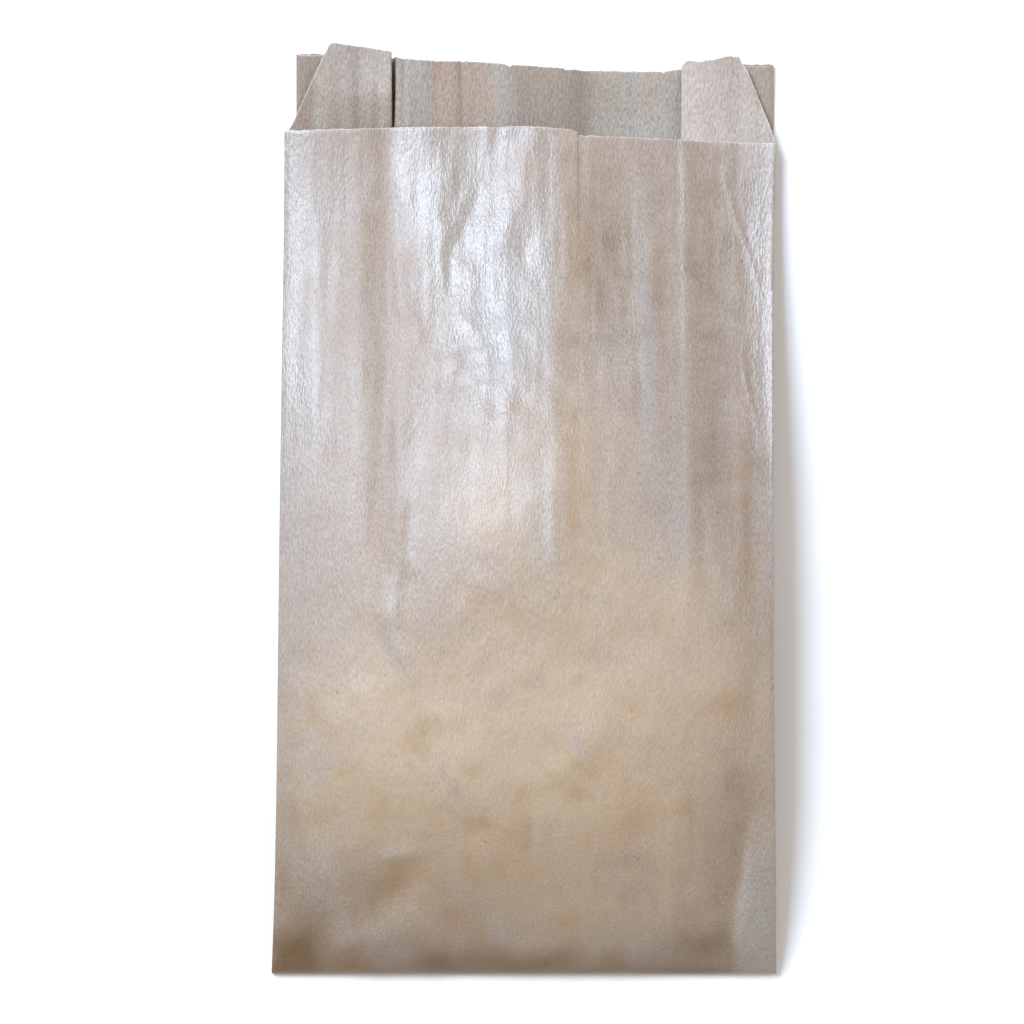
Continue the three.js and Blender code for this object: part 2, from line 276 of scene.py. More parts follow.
# %% Named creases
# height, half width on the left, half width on the right, points from the top down
CREASES = [
    (0.50, 2.0, 2.4, [(-45, 97), (-44.2, 71), (-38.4, 66), (-34.6, 54)]),
    (0.28, 1.8, 2.2, [(-34.6, 114), (-33.8, 86)]),
    (0.26, 1.4, 1.6, [(-30.4, 97), (-28, 80), (-27.8, 71)]),
    (1.10, 11.0, 6.0, [(2, 136), (-3, 108), (-9, 96), (-14, 84)]),
    (-0.35, 2.8, 5.0, [(-8, 136), (-11.4, 128.5), (-16, 108), (-20.6, 100), (-26.5, 88), (-27, 73)]),
    (1.00, 8.0, 4.0, [(-26.5, 132), (-27, 104), (-28, 84)]),
    (-0.32, 1.8, 2.2, [(-5, 130), (-4.6, 108)]),
    (0.28, 2.6, 2.4, [(4.6, 131), (4.4, 96)]),
    (-0.32, 2.0, 2.0, [(0.2, 96), (0.4, 82)]),
    (0.42, 2.4, 2.4, [(-24.6, 71), (-16, 60), (-10.8, 62)]),
    (0.40, 2.6, 2.2, [(-23.6, 55), (-23.6, 46)]),
    (0.34, 2.6, 3.0, [(-19, 32), (-10, 29.4), (0, 32.4)]),
    (0.32, 3.0, 3.0, [(-24, 25), (-22, 22)]),
    (0.18, 1.6, 1.8, [(-74.4, 112), (-72, 64)]),
    (0.24, 1.6, 1.8, [(-69.6, 51), (-70.6, 30)]),
    (0.26, 1.8, 2.0, [(-57.4, 62), (-57, 40)]),
    (0.30, 2.0, 2.4, [(-45, 51), (-44, 8)]),
    (0.45, 3.6, 3.6, [(41.8, 122), (44, 93), (42.4, 61), (46, 20)]),
    (0.38, 2.2, 2.4, [(57.2, 127), (56.8, 70), (57, 36), (55, -12)]),
    (0.42, 1.0, 0.9, [(70.6, 121), (74.6, 105), (77.5, 96.5), (81, 86), (83.6, 76)]),
    (0.40, 1.0, 0.9, [(76.4, 57), (77.4, 48), (79.6, 38), (82.9, 22), (84.3, 16)]),
    (1.30, 3.4, 3.4, [(-47.6, -27), (-45.2, -42.5), (-38.6, -57)]),
    (1.00, 2.0, 3.2, [(-50, -121.4), (-44, -120), (-37, -120.4)]),
    (-0.90, 4.5, 4.5, [(-34, -125), (-41, -130.5), (-49, -135.5), (-55, -143)]),
    (0.75, 3.2, 3.0, [(50.6, -101), (51.4, -148)]),
    (-1.10, 5.0, 2.2, [(78, -106), (77.2, -114), (75.3, -132), (73, -162)]),
    (1.30, 8.0, 4.0, [(86.5, -112), (86, -125), (86, -145), (86, -162)]),
    (-0.80, 4.0, 4.5, [(-34, -102), (-16, -111), (-8, -115)]),
    (0.80, 4.5, 3.0, [(12.8, 30), (13, 5), (12.6, -16)]),
    (-0.60, 2.6, 2.6, [(-51.6, 14), (-51.8, -18)]),
    (0.60, 2.0, 2.2, [(-43.4, 3), (-43.8, -11)]),
    (-0.70, 3.0, 3.0, [(80, 12), (79.4, -32)]),
    (-0.80, 4.0, 4.0, [(82, -50), (80, -76)]),
    (0.70, 4.0, 4.0, [(57, -20), (54.4, -46)]),
    (-0.55, 3.0, 3.0, [(61.6, 8), (60.6, -22)]),
    (-0.50, 3.0, 3.0, [(-38, 8), (-40.6, -36)]),
    (0.50, 3.0, 3.0, [(-58.4, 105), (-58.2, 66)]),
    (0.45, 2.6, 2.6, [(9.6, 8), (9.6, -16)]),
]
CREASE_END_SHARE, CREASE_END_PART = 0.35, 0.3  # a crease is lower over the ends of its line


def crease_relief(x, y):
    total = np.zeros(np.shape(x))
    for height, left, right, points in CREASES:
        away, on_right, share = near_line(x, y, points)
        inner = smooth(share, 0, CREASE_END_PART) * (1 - smooth(share, 1 - CREASE_END_PART, 1))
        ends = mix(CREASE_END_SHARE, 1, inner)
        total += height * ends * np.exp(-((away / np.where(on_right, right, left)) ** 2))
    return total


print(len(CREASES), "named creases")

# %% Seeded noise
LATTICE = 128  # the noise repeats after so many cells, which is more than the bag takes


def noise(x, y, cell_x, cell_y, seed):
    """Smooth random heights between -1 and 1, in cells of that size."""
    table = np.random.default_rng(seed).uniform(-1, 1, (LATTICE, LATTICE))
    u, v = x / cell_x + LATTICE / 2, y / cell_y + LATTICE / 2
    i, j = np.floor(u).astype(int), np.floor(v).astype(int)
    fu, fv = u - i, v - j
    fu, fv = fu * fu * (3 - 2 * fu), fv * fv * (3 - 2 * fv)

    def knot(a, b):
        return table[(i + a) % LATTICE, (j + b) % LATTICE]

    return mix(mix(knot(0, 0), knot(1, 0), fu), mix(knot(0, 1), knot(1, 1), fu), fv)


def pads(x, y, cell_x, cell_y, seed):
    """Ridges where the noise crosses 0, with hollows between them."""
    return 0.8 - 2 * np.hypot(noise(x, y, cell_x, cell_y, seed), 0.15)


print("noise at the middle of the bag:", round(float(noise(0.0, 0.0, 9, 13, 13)), 2))

# %% The crumple
SLACK_PLACE = (-18, 96, 34, 34, 90)  # the empty part that catches most light
RIPPLE_PLACE = (-12, 44, 24, 30, 90)  # just above the croissants
SLACK_DEPTH, RIPPLE_DEPTH, RIPPLE_BOW = 0.26, 0.36, 0.02
FLUTE_DEPTH, FINE_FLUTE_DEPTH = 0.22, 0.09
FILLED_DEPTH, FINE_DEPTH, BROAD_DEPTH = 0.30, 0.06, 0.45


def slack(x, y, bent_x, bent_y):
    """Quilted crinkles where the paper is slack, and bowed ripples across it lower down."""
    upright = pads(bent_x, bent_y, 9, 13, 13)
    level = pads(bent_x, bent_y + RIPPLE_BOW * (x - RIPPLE_PLACE[0]) ** 2, 12, 6.5, 18)
    patches = noise(bent_x, bent_y, 4.5, 6.5, 17)
    high = SLACK_DEPTH * (upright + 0.4 * patches) * oval(x, y, *SLACK_PLACE)
    return high + RIPPLE_DEPTH * (level + 0.3 * patches) * oval(x, y, *RIPPLE_PLACE)


def flutes(x, y, bent_x):
    """Long narrow flutes towards the mouth, weaker over the left pleat."""
    coarse = FLUTE_DEPTH * noise(bent_x, y, 4.4, 46, 14) * mix(0.3, 1, smooth(x, -52, -46))
    return (coarse + FINE_FLUTE_DEPTH * noise(x, y, 2.1, 24, 19)) * smooth(y, -90, 50)


def crumple(x, y):
    """All of it together, with a calmer unevenness where the croissants hold the paper tight."""
    bent_x = x + 3.0 * noise(x, y, 17, 23, 11)
    bent_y = y + 4.0 * noise(x, y, 15, 19, 12)
    filled = FILLED_DEPTH * noise(bent_x, bent_y, 11, 9, 20) * (1 - smooth(y, -10, 60))
    fine = FINE_DEPTH * noise(x, y, 2.6, 5.2, 15)
    broad = BROAD_DEPTH * noise(x, y, 22, 30, 16)
    return slack(x, y, bent_x, bent_y) + flutes(x, y, bent_x) + filled + fine + broad


sample = np.meshgrid(np.linspace(-80, 80, 60), np.linspace(-150, 130, 90))
print("crumple runs from", crumple(*sample).min().round(2), "to", crumple(*sample).max().round(2), "mm")

# %% [markdown]
# ## The whole front face
# The right crease was folded hard and stands up in a narrow rim, the left one rolls down a little, and
# the layers at the bottom fold are pressed together. With these three the front face is complete.

# %% Height of the front face
DOME_POWER = 2.5  # above 2, so that the dome is flatter on top and steeper at its sides
RIM_HEIGHT, RIM_WIDTH = 3.0, 4.2
RIM_LOW, RIM_HIGH = 1.3, 0.75  # its share of that height, low on the bag and near the mouth
ROLL_DEPTH, ROLL_WIDTH = 2.3, 9
PRESSED, PRESSED_LENGTH = 2.0, 9.0
FINE_CALM_POWER = 14


def front_z(x, y):
    out = np.abs(across(x, y))
    dome = mix(crease_z(y), crown_z(y), 1 - out**DOME_POWER)
    rim = RIM_HEIGHT * np.exp(-np.maximum(right_x(y) - x, 0) / RIM_WIDTH) * smooth(y, -60, 40)
    rim = rim * mix(RIM_LOW, RIM_HIGH, smooth(y, 20, 125))
    roll = ROLL_DEPTH * np.exp(-np.maximum(x - left_x(y), 0) / ROLL_WIDTH) * smooth(y, 40, 115)
    pressed = PRESSED * np.exp(-(y - BOTTOM_Y) / PRESSED_LENGTH)
    calm = 1 - out**FINE_CALM_POWER
    return dome + big_relief(x, y) + rim - roll - pressed + calm * (crease_relief(x, y) + crumple(x, y))


print("front face at the middle of the bag", round(float(front_z(0.0, 0.0)), 1), "mm")

# %% Where the front panel is cut
LEFT_PART_DIP, LEFT_PART_END_DIP = 1.1, 0.7  # towards the seam, and towards the left crease
SEAM_END_DIP, SEAM_END_WIDTH = 1.0, 2.5  # the left part's last corner is worn down
RIGHT_PART_LOWER, RIGHT_PART_SLANT = 3.0, 0.038


def front_edge_y(side, x):
    """The cut edge at the mouth: the right part of the panel was cut a little lower, and on a slant."""
    if side > 0:
        return FRONT_EDGE_Y - RIGHT_PART_LOWER - RIGHT_PART_SLANT * (x - SEAM_RIGHT_X)
    edge = FRONT_EDGE_Y - LEFT_PART_DIP * smooth(x, 0, SEAM_RIGHT_X) - LEFT_PART_END_DIP * smooth(-x, 30, 88)
    return edge - SEAM_END_DIP * smooth(x, SEAM_RIGHT_X - SEAM_END_WIDTH, SEAM_RIGHT_X)


print("cut at the right crease", round(float(front_edge_y(1, right_x(FRONT_EDGE_Y))), 1), "mm")

# %% [markdown]
# ## The pleated sides
# At each side a 37 mm pleat, or gusset, is tucked in between the two panels: one half hangs from the
# front crease, the other rises from the back crease, and they meet in a fold inside the bag. Both halves
# follow from the height between the panels, as the pleat's width can't change. At the mouth the pleats
# stick out as two ears with slanting cuts, and the back panel sticks out between them as a lip.

# %% Cut outlines of the ears and the lip
FOLD_X = {-1: -47.5, 1: 56.4}  # the inner folds at the mouth, on the left (-1) and on the right (1)
EAR_TOPS = {
    -1: [(-85.4, 134.4), (-83.6, 136), (-79.1, 145.2), (-71.6, 161.4), (-68.9, 166), (-47.5, 162.6)],
    1: [(56.4, 158), (57.6, 159.4), (67.5, 159.8), (72.5, 161.2), (77.1, 161), (77.7, 159), (79.8, 156.2),
        (87.5, 137.4), (89.9, 130.4)],
}
LIP_EDGE = [
    (-81, 162.4), (-70, 162.4), (-46, 160.8), (-33.2, 159.9), (-22.5, 159.9), (-13, 159.3), (-6.3, 158.8),
    (-5.4, 157.7), (-4.4, 158.6), (4.6, 158), (11.4, 157.4), (21.4, 156.2), (36.8, 155.7), (50, 155.7),
    (56, 156.6), (78, 158.6), (89, 158.6),
]


def points_of(line):
    return [p[0] for p in line], [p[1] for p in line]


def ear_top(side, x):
    return np.interp(x, *points_of(EAR_TOPS[side]))


def lip_edge_y(x):
    return np.interp(x, *points_of(LIP_EDGE))


for side in (-1, 1):
    print("an ear's apex is at y", max(p[1] for p in EAR_TOPS[side]))

# %% Where a pleat's creases and folds are
GUSSET_PUSH = 0.2  # the croissants push the inner folds out by up to this share
GUSSET_GAP, GUSSET_LEAST = 0.9, 0.2
LIP_LEFT_X, LIP_RIGHT_X = -81.2, 88.9


def panel_x(side, y):
    return left_x(y) if side < 0 else right_x(y)


def back_crease_x(side, y):
    return mix(panel_x(side, y), LIP_LEFT_X if side < 0 else LIP_RIGHT_X, smooth(y, 95, 140))


def gusset_fold_x(side, y):
    half = np.maximum((crease_z(y) - back_z(panel_x(side, y), y)) / 2 - GUSSET_GAP, GUSSET_LEAST)
    reach = np.sqrt(GUSSET_HALF**2 - half**2) * (1 - GUSSET_PUSH * fullness(y))
    return mix(panel_x(side, y) - side * reach, FOLD_X[side], smooth(y, 40, 130))


for side in (-1, 1):
    print("beside the croissants a pleat folds at x", round(float(gusset_fold_x(side, 0.0)), 1))

# %% [markdown]
# ## The lip
# The back panel is some 25 mm longer than the front one. Its free end lies almost flat, waves a little
# and curls up on the right. Beside the left ear it is pushed up into a narrow fold, and that leaves a
# deep, nearly black cleft along the ear.

# %% Height of the back panel and its lip
LAYER = 0.25  # one sheet of paper, drawn a little thicker than it is
LIP_START_Y, LIP_BLEND_Y = 92, 122
LIP_LIFT = 0.3
LIP_REST, LIP_WAVE, LIP_WAVE_LENGTH, LIP_RIPPLE = 0.4, 0.35, 13, 0.25
CURL_X, CURL_WIDTH, CURL_RISE = 42, 24, 3.4
CLEFT_X, CLEFT_WALL, CLEFT_HEIGHT, CLEFT_SLOPE = -46.6, 1.1, 3.9, 8.5
LIP_STREAK_SHARE = 0.4
# middle x, height and half width of the low ridges along the lip
LIP_RIDGES = [(-33.1, 0.5, 1.2), (-22.8, -0.45, 1.0), (-10.8, 0.5, 1.5), (-2.5, -0.4, 1.4),
              (9, 0.5, 4), (24, -0.6, 4)]


def lip_z(x, y):
    free = smooth(y, FRONT_EDGE_Y - 8, FRONT_EDGE_Y + 22)
    curl = np.exp(-(((x - CURL_X) / CURL_WIDTH) ** 2))
    wave = LIP_REST + LIP_WAVE * np.sin(x / LIP_WAVE_LENGTH) + CURL_RISE * curl * free
    ridges = sum(rise * np.exp(-(((x - at) / wide) ** 2)) for at, rise, wide in LIP_RIDGES)
    wall = smooth(x, CLEFT_X, CLEFT_X + CLEFT_WALL)
    cleft = CLEFT_HEIGHT * wall * np.exp(-np.maximum(x - CLEFT_X - CLEFT_WALL, 0) / CLEFT_SLOPE)
    fine = free * (wave + LIP_RIPPLE * noise(x, y, 7, 16, 21))
    return LIP_LIFT + fine + smooth(y, 110, 134) * (cleft + LIP_STREAK_SHARE * ridges)


def back_face_z(x, y):
    """The upper, inner face of the back panel."""
    return LAYER + np.maximum(back_z(x, y), smooth(y, LIP_START_Y, LIP_BLEND_Y) * lip_z(x, y))


print("lip stands", round(float(lip_z(CURL_X, 158)), 1), "mm high at its curl")

# %% [markdown]
# ## The pleats' two halves
# With both panels known, a place on a pleat is only a share of the way from its crease to its fold. Where
# the front panel covers the pleat, its halves slope towards each other and bow out a little. Out on the
# ear nothing presses on them, so they lie lower and wave.

# %% Height of the pleats' two halves
CREASE_ROUND, FOLD_ROUND = 0.45, 0.3
GUSSET_BOW = 0.14
EAR_OUTER_Z = 3.2
FOLD_Z = {-1: 6.4, 1: 4.6}  # how high the inner folds lie at the mouth
UPPER_BELOW, LOWER_BELOW = 0.6, 1.05  # how far the halves keep under the front panel


def ear_share(y):
    """0 where the front panel covers a pleat, 1 out on its ear."""
    return smooth(y, FRONT_EDGE_Y - 4, FRONT_EDGE_Y + 14)


def pleat_point(side, share, y, under):
    """A place on a pleat's half: share 0 at its crease, 1 at its fold; under is the half over the back."""
    fold = gusset_fold_x(side, y)
    upper = front_z(panel_x(side, y), y) - 2 * CREASE_ROUND
    lower = back_face_z(back_crease_x(side, y), y) + 2 * FOLD_ROUND
    half = np.maximum((upper - lower) / 2, 0.1)
    bow = GUSSET_BOW * half * np.sin(np.pi * share)
    middle = (upper + lower) / 2
    if under:
        x = mix(back_crease_x(side, y) - side * (FOLD_ROUND + LAYER), fold, share)
        covered = mix(middle - half, middle - FOLD_ROUND, share) + bow
        covered = np.minimum(covered, front_z(x, y) - LOWER_BELOW)
        bare = mix(lower + 0.1, FOLD_Z[side] - 2 * FOLD_ROUND, share**2)
    else:
        x = mix(panel_x(side, y) - side * CREASE_ROUND, fold, share)
        covered = mix(middle + half, middle + FOLD_ROUND, share) - bow
        covered = np.minimum(covered, front_z(x, y) - UPPER_BELOW)
        bare = mix(EAR_OUTER_Z, FOLD_Z[side], share) + 0.3 * noise(x, y, 9, 14, 22 + side)
    return x, mix(covered, bare, ear_share(y))


middle = [round(float(v), 1) for v in pleat_point(-1, 0.5, 0.0, False)]
print("upper half of the left pleat, in its middle:", middle)

# %% [markdown]
# ## From formulas to a sheet
# Every piece of paper is a grid of points on one face and a second grid a paper's thickness behind it,
# with strips that close the four cut edges. A closed sheet can be lit from both sides and has real edges
# that catch light. Each face gets its own material: smooth outside, dull inside, pale fibres at the cut.

# %% Helper: how near a place is to the knife's cut at the mouth
EDGE_FIBRES = 0.25
EDGE_SHARE, EDGE_PATCHES = 0.65, 0.4  # how pale the cut is, and how uneven
LEAST_STEP, STEEPEST = 0.05, 3


def cut_edge(grid):
    """High at the cut and 0 a millimetre from it, for a slanting cut as well as for a square one."""
    cut_x, cut_y = grid[-1, :, 0], grid[-1, :, 1]
    step_x = np.gradient(cut_x)
    slant = np.gradient(cut_y) / np.where(np.abs(step_x) < LEAST_STEP, LEAST_STEP, step_x)
    away = np.linalg.norm(grid - grid[-1], axis=2) / np.sqrt(1 + np.minimum(np.abs(slant), STEEPEST) ** 2)
    uneven = EDGE_SHARE + EDGE_PATCHES * noise(grid[..., 0], grid[..., 1], 3.3, 9, 62)
    # the pale band at the cut is partly its own fibres and partly a painted highlight where the edge catches
    # the light
    return np.exp(-((away / EDGE_FIBRES) ** 2)) * uneven


print("helper ready")

# %% Helper: the faces of a closed sheet
def sheet_faces(rows, columns):
    """The quads of the seen face, of the face behind it, and of the strips round the edges."""
    count = rows * columns
    index = np.arange(count).reshape(rows, columns)

    def strip(a, b):
        return np.stack([a[:-1], a[1:], b[1:], b[:-1]], axis=-1).reshape(-1, 4)

    face = np.stack([index[:-1, :-1], index[:-1, 1:], index[1:, 1:], index[1:, :-1]], axis=-1).reshape(-1, 4)
    back = face[:, ::-1] + count
    rims = (index[0], index[:, -1], index[::-1, 0], index[-1, ::-1])
    edges = np.concatenate([strip(line + count, line) for line in rims])
    return face, back, edges


print("a sheet of 2 x 2 places has", sum(len(part) for part in sheet_faces(2, 2)), "faces")

# %% Helper: a closed sheet of paper
SHARP_ANGLE = 0.9  # in radians: the strips round the edges meet the faces sharply


def sheet(name, grid, thickness, materials, marks):
    """grid is rows x columns x 3 in mm, seen with its face towards you when columns run to the right."""
    normal = np.cross(np.gradient(grid, axis=1), np.gradient(grid, axis=0))
    normal /= np.linalg.norm(normal, axis=2, keepdims=True)
    rows, columns = grid.shape[:2]
    points = np.concatenate([grid.reshape(-1, 3), (grid - thickness * normal).reshape(-1, 3)]) * MM
    parts = sheet_faces(rows, columns)
    quads = np.concatenate(parts)
    mesh = bpy.data.meshes.new(name)
    mesh.from_pydata(points.tolist(), [], quads.tolist())
    mesh.polygons.foreach_set("material_index", np.repeat([0, 1, 2], [len(part) for part in parts]))
    mesh.set_sharp_from_angle(angle=SHARP_ANGLE)
    for material in materials:
        mesh.materials.append(material)
    marks = marks | {"edge": cut_edge(grid)}
    for mark_name, values in marks.items():
        layer = mesh.attributes.new(mark_name, "FLOAT", "POINT")
        layer.data.foreach_set("value", np.tile(np.clip(values, 0, 1).ravel(), 2).astype(np.float32))
    piece = bpy.data.objects.new(name, mesh)
    bpy.context.scene.collection.objects.link(piece)
    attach(piece, "root")
    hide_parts("bag")
    print(name, rows, "x", columns, "places,", 2 * len(quads), "triangles")
    return piece


# %% Helper: how the paper's cut edges run
TOOTH_LENGTH, TOOTH_HEIGHT, TOOTH_DRIFT = 2.3, 0.24, 0.2
NICK_LEVEL = 0.55  # nicks only where the noise goes above this
FRAY = 0.12


def ragged(x, seed):
    """A saw-toothed knife cuts the mouth, so its edges are fine zigzags with a nick here and there."""
    drift = TOOTH_DRIFT * noise(x, 0 * x, 5, 5, seed)
    teeth = TOOTH_HEIGHT * np.abs(2 * ((x / TOOTH_LENGTH + drift) % 1) - 1)
    nicks = np.maximum(noise(x, 0 * x + 9, 3.1, 5, seed + 1) - NICK_LEVEL, 0)
    return teeth + FRAY * noise(x, 0 * x + 5, 1.7, 5, seed + 2) - nicks


print("zigzag at five places:", ragged(np.linspace(0, 4, 5), 52).round(2))

# %% Helper: rows of places along the bag
NEAR_CUT = np.array([0, 0.25, 0.55, 0.9, 1.3, 1.8, 2.4, 3.1, 4.0])  # how the rows lie close to a cut edge
ROW_STEP = 1.12


def row_steps(first, last, step, ends):
    """Shares of a length, packed closer at its first and last end where ends has a 1."""
    length = last - first
    middle = np.linspace(first + ends[0] * NEAR_CUT[-1], last - ends[1] * NEAR_CUT[-1], int(length / step))
    low = first + ends[0] * NEAR_CUT[:-1]
    high = last - ends[1] * NEAR_CUT[-2::-1]
    return (np.concatenate([low, middle, high]) - first) / length


ROWS = row_steps(BOTTOM_Y, FRONT_EDGE_Y, ROW_STEP, (1, 1))
print(len(ROWS), "rows of places along the front")

# %% [markdown]
# ## What shows on the paper
# Greaseproof paper is slightly see-through. The croissants glow through it in soft golden patches, and
# the pleats, the glued overlap and the bottom fold make it darker. Butter has left golden-brown stains,
# and long pale and brown streaks follow the grain. Light and shade are painted in as well: a paler,
# bluish sheen where the satin paper shines, pale highlights on creases and a facet, and painted shade in
# hollows, along the bottom fold and beside the seam's edge. All this could be painted on an unwrapped
# picture, but then it would have to be painted again whenever a size changes. So each mark becomes a
# number from 0 to 1 at every point of the sheet, worked out from its place, and the materials turn the
# numbers into colour and gloss.

# %% Golden patches, where croissants touch the paper
# middle x, y, half width, half length and strength
GLOWS = [
    (-1.5, -99.7, 80, 46, 0.9), (33, -60, 48, 40, 0.6), (8, -20, 34, 46, 0.4), (-35, -60, 40, 34, 0.4),
]
GLOW_SOFT = 0.55


def wandering(x, y):
    """Each place pushed about a little, so that soft patches get an uneven outline."""
    bent_x = x + 9 * noise(x, y, 26, 30, 33) + 4 * noise(x, y, 9, 12, 34)
    bent_y = y + 9 * noise(x, y, 24, 28, 35) + 4 * noise(x, y, 9, 12, 36)
    return bent_x, bent_y


def touched(x, y):
    """0 where the paper hangs free, towards 1 where croissants press on it."""
    free = 1.0
    for cx, cy, wide, long, power in GLOWS:
        away = np.hypot((x - cx) / wide, (y - cy) / long)
        free = free * (1 - power * (1 - smooth(away, 1 - GLOW_SOFT, 1 + GLOW_SOFT)))
    return 1 - free


print(len(GLOWS), "golden patches")

# %% Stains, painted highlights and painted shade
# In all three lists: middle x, y, half length, half width, turn and strength.
# buttery stains
STAINS = [
    (-45, -129.5, 10, 6, 40, 0.24), (-33, -121, 6, 4, 40, 0.14), (-46, -130, 8, 5, 55, 0.20),
    (-53, -99, 8, 6, 107, 0.12), (-67.4, -107.5, 9, 5, 113, 0.12), (-12, -4, 8, 5, 105, 0.24),
    (-22, -148, 8, 6, 111, 0.30), (-30, -137, 12, 4, 130, 0.18), (-15, -29, 9, 6, 124, 0.20),
    (34, -115, 8, 6, 111, 0.25), (-72.6, -75, 7, 3, 156, 0.18), (-2, -124, 9, 7, 80, 0.04),
    (-16, -112, 17, 5, 151, 0.2), (-52, -10, 12, 3, 92, 0.20), (14, -146, 9, 6, 60, 0.30),
    (36, -104, 9, 4, 95, 0.24), (77.8, -21, 14, 3, 88, 0.20), (77, 8, 14, 3.5, 90, 0.18),
    (33, -68, 7, 6, 74, 0.18), (27, -84, 12, 6, 60, 0.20), (70.5, -71, 9, 7, 66, 0.18),
    (17.4, 4, 22, 3.5, 88, 0.26), (20.6, 92, 9, 2, 90, 0.18), (-66, -96, 14, 9, 80, 0.1),
    (-26, -143, 32, 8, 0, 0.13),
]
# painted highlights: paler places where creases and ridges catch the light
PAINTED_HIGHLIGHTS = [
    (-44, -46, 14, 3.6, 112, 0.55), (8, -7, 8, 4, 85, 0.4), (-70, -128, 14, 8, 80, 0.35),
    (-43.4, -119, 7, 2.4, 6, 0.8), (1, -33, 10, 8, 0, 0.25), (-9, 60, 36, 13, 90, 0.35),
    (-47, -148.5, 9, 4.5, 42, 0.35), (-8, -147, 9, 5, -10, 0.5), (53.5, -8, 14, 4, 85, 0.35),
    (-46.4, -32, 8, 3, 100, 0.4), (-71, -86, 7, 6, 128, 0.3), (-74, -136, 6, 6, 0, 0.3),
    (17, -80, 8, 6, 39, 0.3), (4, 8, 8, 6, 45, 0.3), (8, -17, 9, 4, 85, 0.3), (30, 60, 50, 4, 90, 0.1),
    (43, 60, 55, 4, 92, 0.3),
]
# painted shade: places darkened as if in shadow, on slopes and in hollows; below zero it lightens
SHADOWS = [
    (-50, -136, 9, 6, 50, 0.16), (-77, -154, 14, 6, 75, 0.18), (-31, -161, 9, 5, 0, 0.25),
    (-3, -163, 9, 4, 0, 0.2), (60, -138, 14, 8, 80, 0.12), (1, 22, 10, 9, 0, 0.1),
    (70, -120, 40, 9, 84, 0.32), (76, -40, 42, 8, 90, 0.17), (41, -38, 14, 14, 0, 0.10),
    (31, 92, 26, 8, 88, 0.14), (-60, -136, 42, 15, 0, 0.12), (34, 95, 70, 24, 88, 0.2),
    (-35, -28, 34, 12, 80, 0.12), (-50, 30, 75, 4, 90, 0.12), (-84, -118, 42, 9, 90, 0.30),
    (-41.5, 88, 17, 4, 90, 0.17), (-55, -128, 9, 6, 0, 0.15), (75.4, -114, 8, 4, 90, 0.12),
    (65, -148, 8, 6, 0, -0.12),
]
BROWNED = (-6, -130, 85, 20, 0)  # the low part, where the butter has spread furthest
STRAY = 2.6


def stained(x, y):
    stray_x = x + STRAY * noise(x, y, 6, 6, 74)
    stray_y = y + STRAY * noise(x, y, 6, 6, 75)
    return ovals(stray_x, stray_y, STAINS)


print(len(STAINS), "stains,", len(PAINTED_HIGHLIGHTS), "pale places,", len(SHADOWS), "shadows")

# %% Streaks along the grain
# middle x, upper end, lower end, half width, and how pale (or, below zero, how brown)
# The pale streaks are partly painted highlights along the grain, and the brown ones partly painted shade.
STREAKS = [
    (-73, 108, 0, 1.8, 0.22), (-67, 98, 58, 1.4, 0.14), (-76.6, 90, 30, 2.2, -0.10),
    (-59, 66, -5, 2.2, 0.12), (-46.8, 134, 20, 1.6, 0.16), (-64.8, 100, 10, 2.6, -0.06),
    (-50.5, 60, -45, 2.6, -0.05), (7.4, 30, -30, 2.4, 0.16), (16.4, 130, -25, 2.4, -0.12),
    (24.5, 95, 45, 1.8, 0.04), (35, 60, 30, 1.6, -0.08), (42.3, 125, 0, 2.6, 0.18),
    (47.4, 100, 50, 1.7, -0.12), (56.4, 128, -30, 2.0, 0.20), (-39.5, 98, 10, 4.5, -0.14),
    (28, 136, 60, 6, -0.30), (1.5, 138, 104, 4, -0.22), (64, 120, -10, 3.0, -0.14),
    (72.6, 84, -40, 2.2, 0.14), (78, 95, -35, 2.2, -0.14), (61, 20, -40, 1.8, -0.10),
    (-30, 60, -10, 1.6, -0.08), (-37.6, 40, -30, 2.2, 0.14), (-41, 12, -42, 2.4, -0.10),
    (51, -98, -150, 2.6, 0.26), (47.4, -100, -142, 1.8, -0.14), (58.4, -86, -130, 1.8, -0.16),
    (40, -90, -140, 3, -0.08),
]
STREAK_START, STREAK_STOP = 18, 12  # over what length a streak fades, at its lower and its upper end


def streaks_at(x, y):
    bent = x + 1.4 * noise(x, y, 12, 28, 71)
    total = 0
    for at, top, low, wide, power in STREAKS:
        line = power * np.exp(-(((bent - at) / wide) ** 2))
        total = total + line * smooth(y, low, low + STREAK_START) * (1 - smooth(y, top - STREAK_STOP, top))
    return total


print(len(STREAKS), "streaks")

# %% The folded layers at the bottom, with painted shade along the fold
# x and how far up from the fold the layers show; x and how dark they are there
FOLDED_REACH = [(-90, 28), (-60, 26), (-30, 20), (0, 15), (30, 16), (60, 22), (80, 24)]
FOLDED_SHADE = [(-90, 0.74), (-40, 0.70), (10, 0.74), (30, 0.74), (72, 0.58), (79, 0.20)]
# painted shade at the darkest places along the fold: middle x, y, half length, half width, turn and strength
FOLD_PAINTED_SHADE = [(-79, -156, 24, 9, 65, 1), (-30, -160, 16, 5, 0, 0.7), (6, -160, 13, 4, 0, 0.5),
               (46, -159, 10, 6, 0, 0.5)]


def folded_layers(x, y):
    """An uneven darker band over the bottom fold, darkest along the fold: partly the layers, partly painted
    shade.
    """
    reach = np.interp(x, *points_of(FOLDED_REACH))
    uneven_y = y + 4 * noise(x, y, 20, 30, 37) + 4 * noise(x, y, 8, 12, 72)
    band = 1 - smooth(uneven_y, BOTTOM_Y + 1, BOTTOM_Y + reach)
    band = band * (0.7 + 0.5 * noise(x, y, 10, 8, 73)) + 0.7 * np.exp(-(y - BOTTOM_Y) / 3.5)
    return band * np.interp(x, *points_of(FOLDED_SHADE))


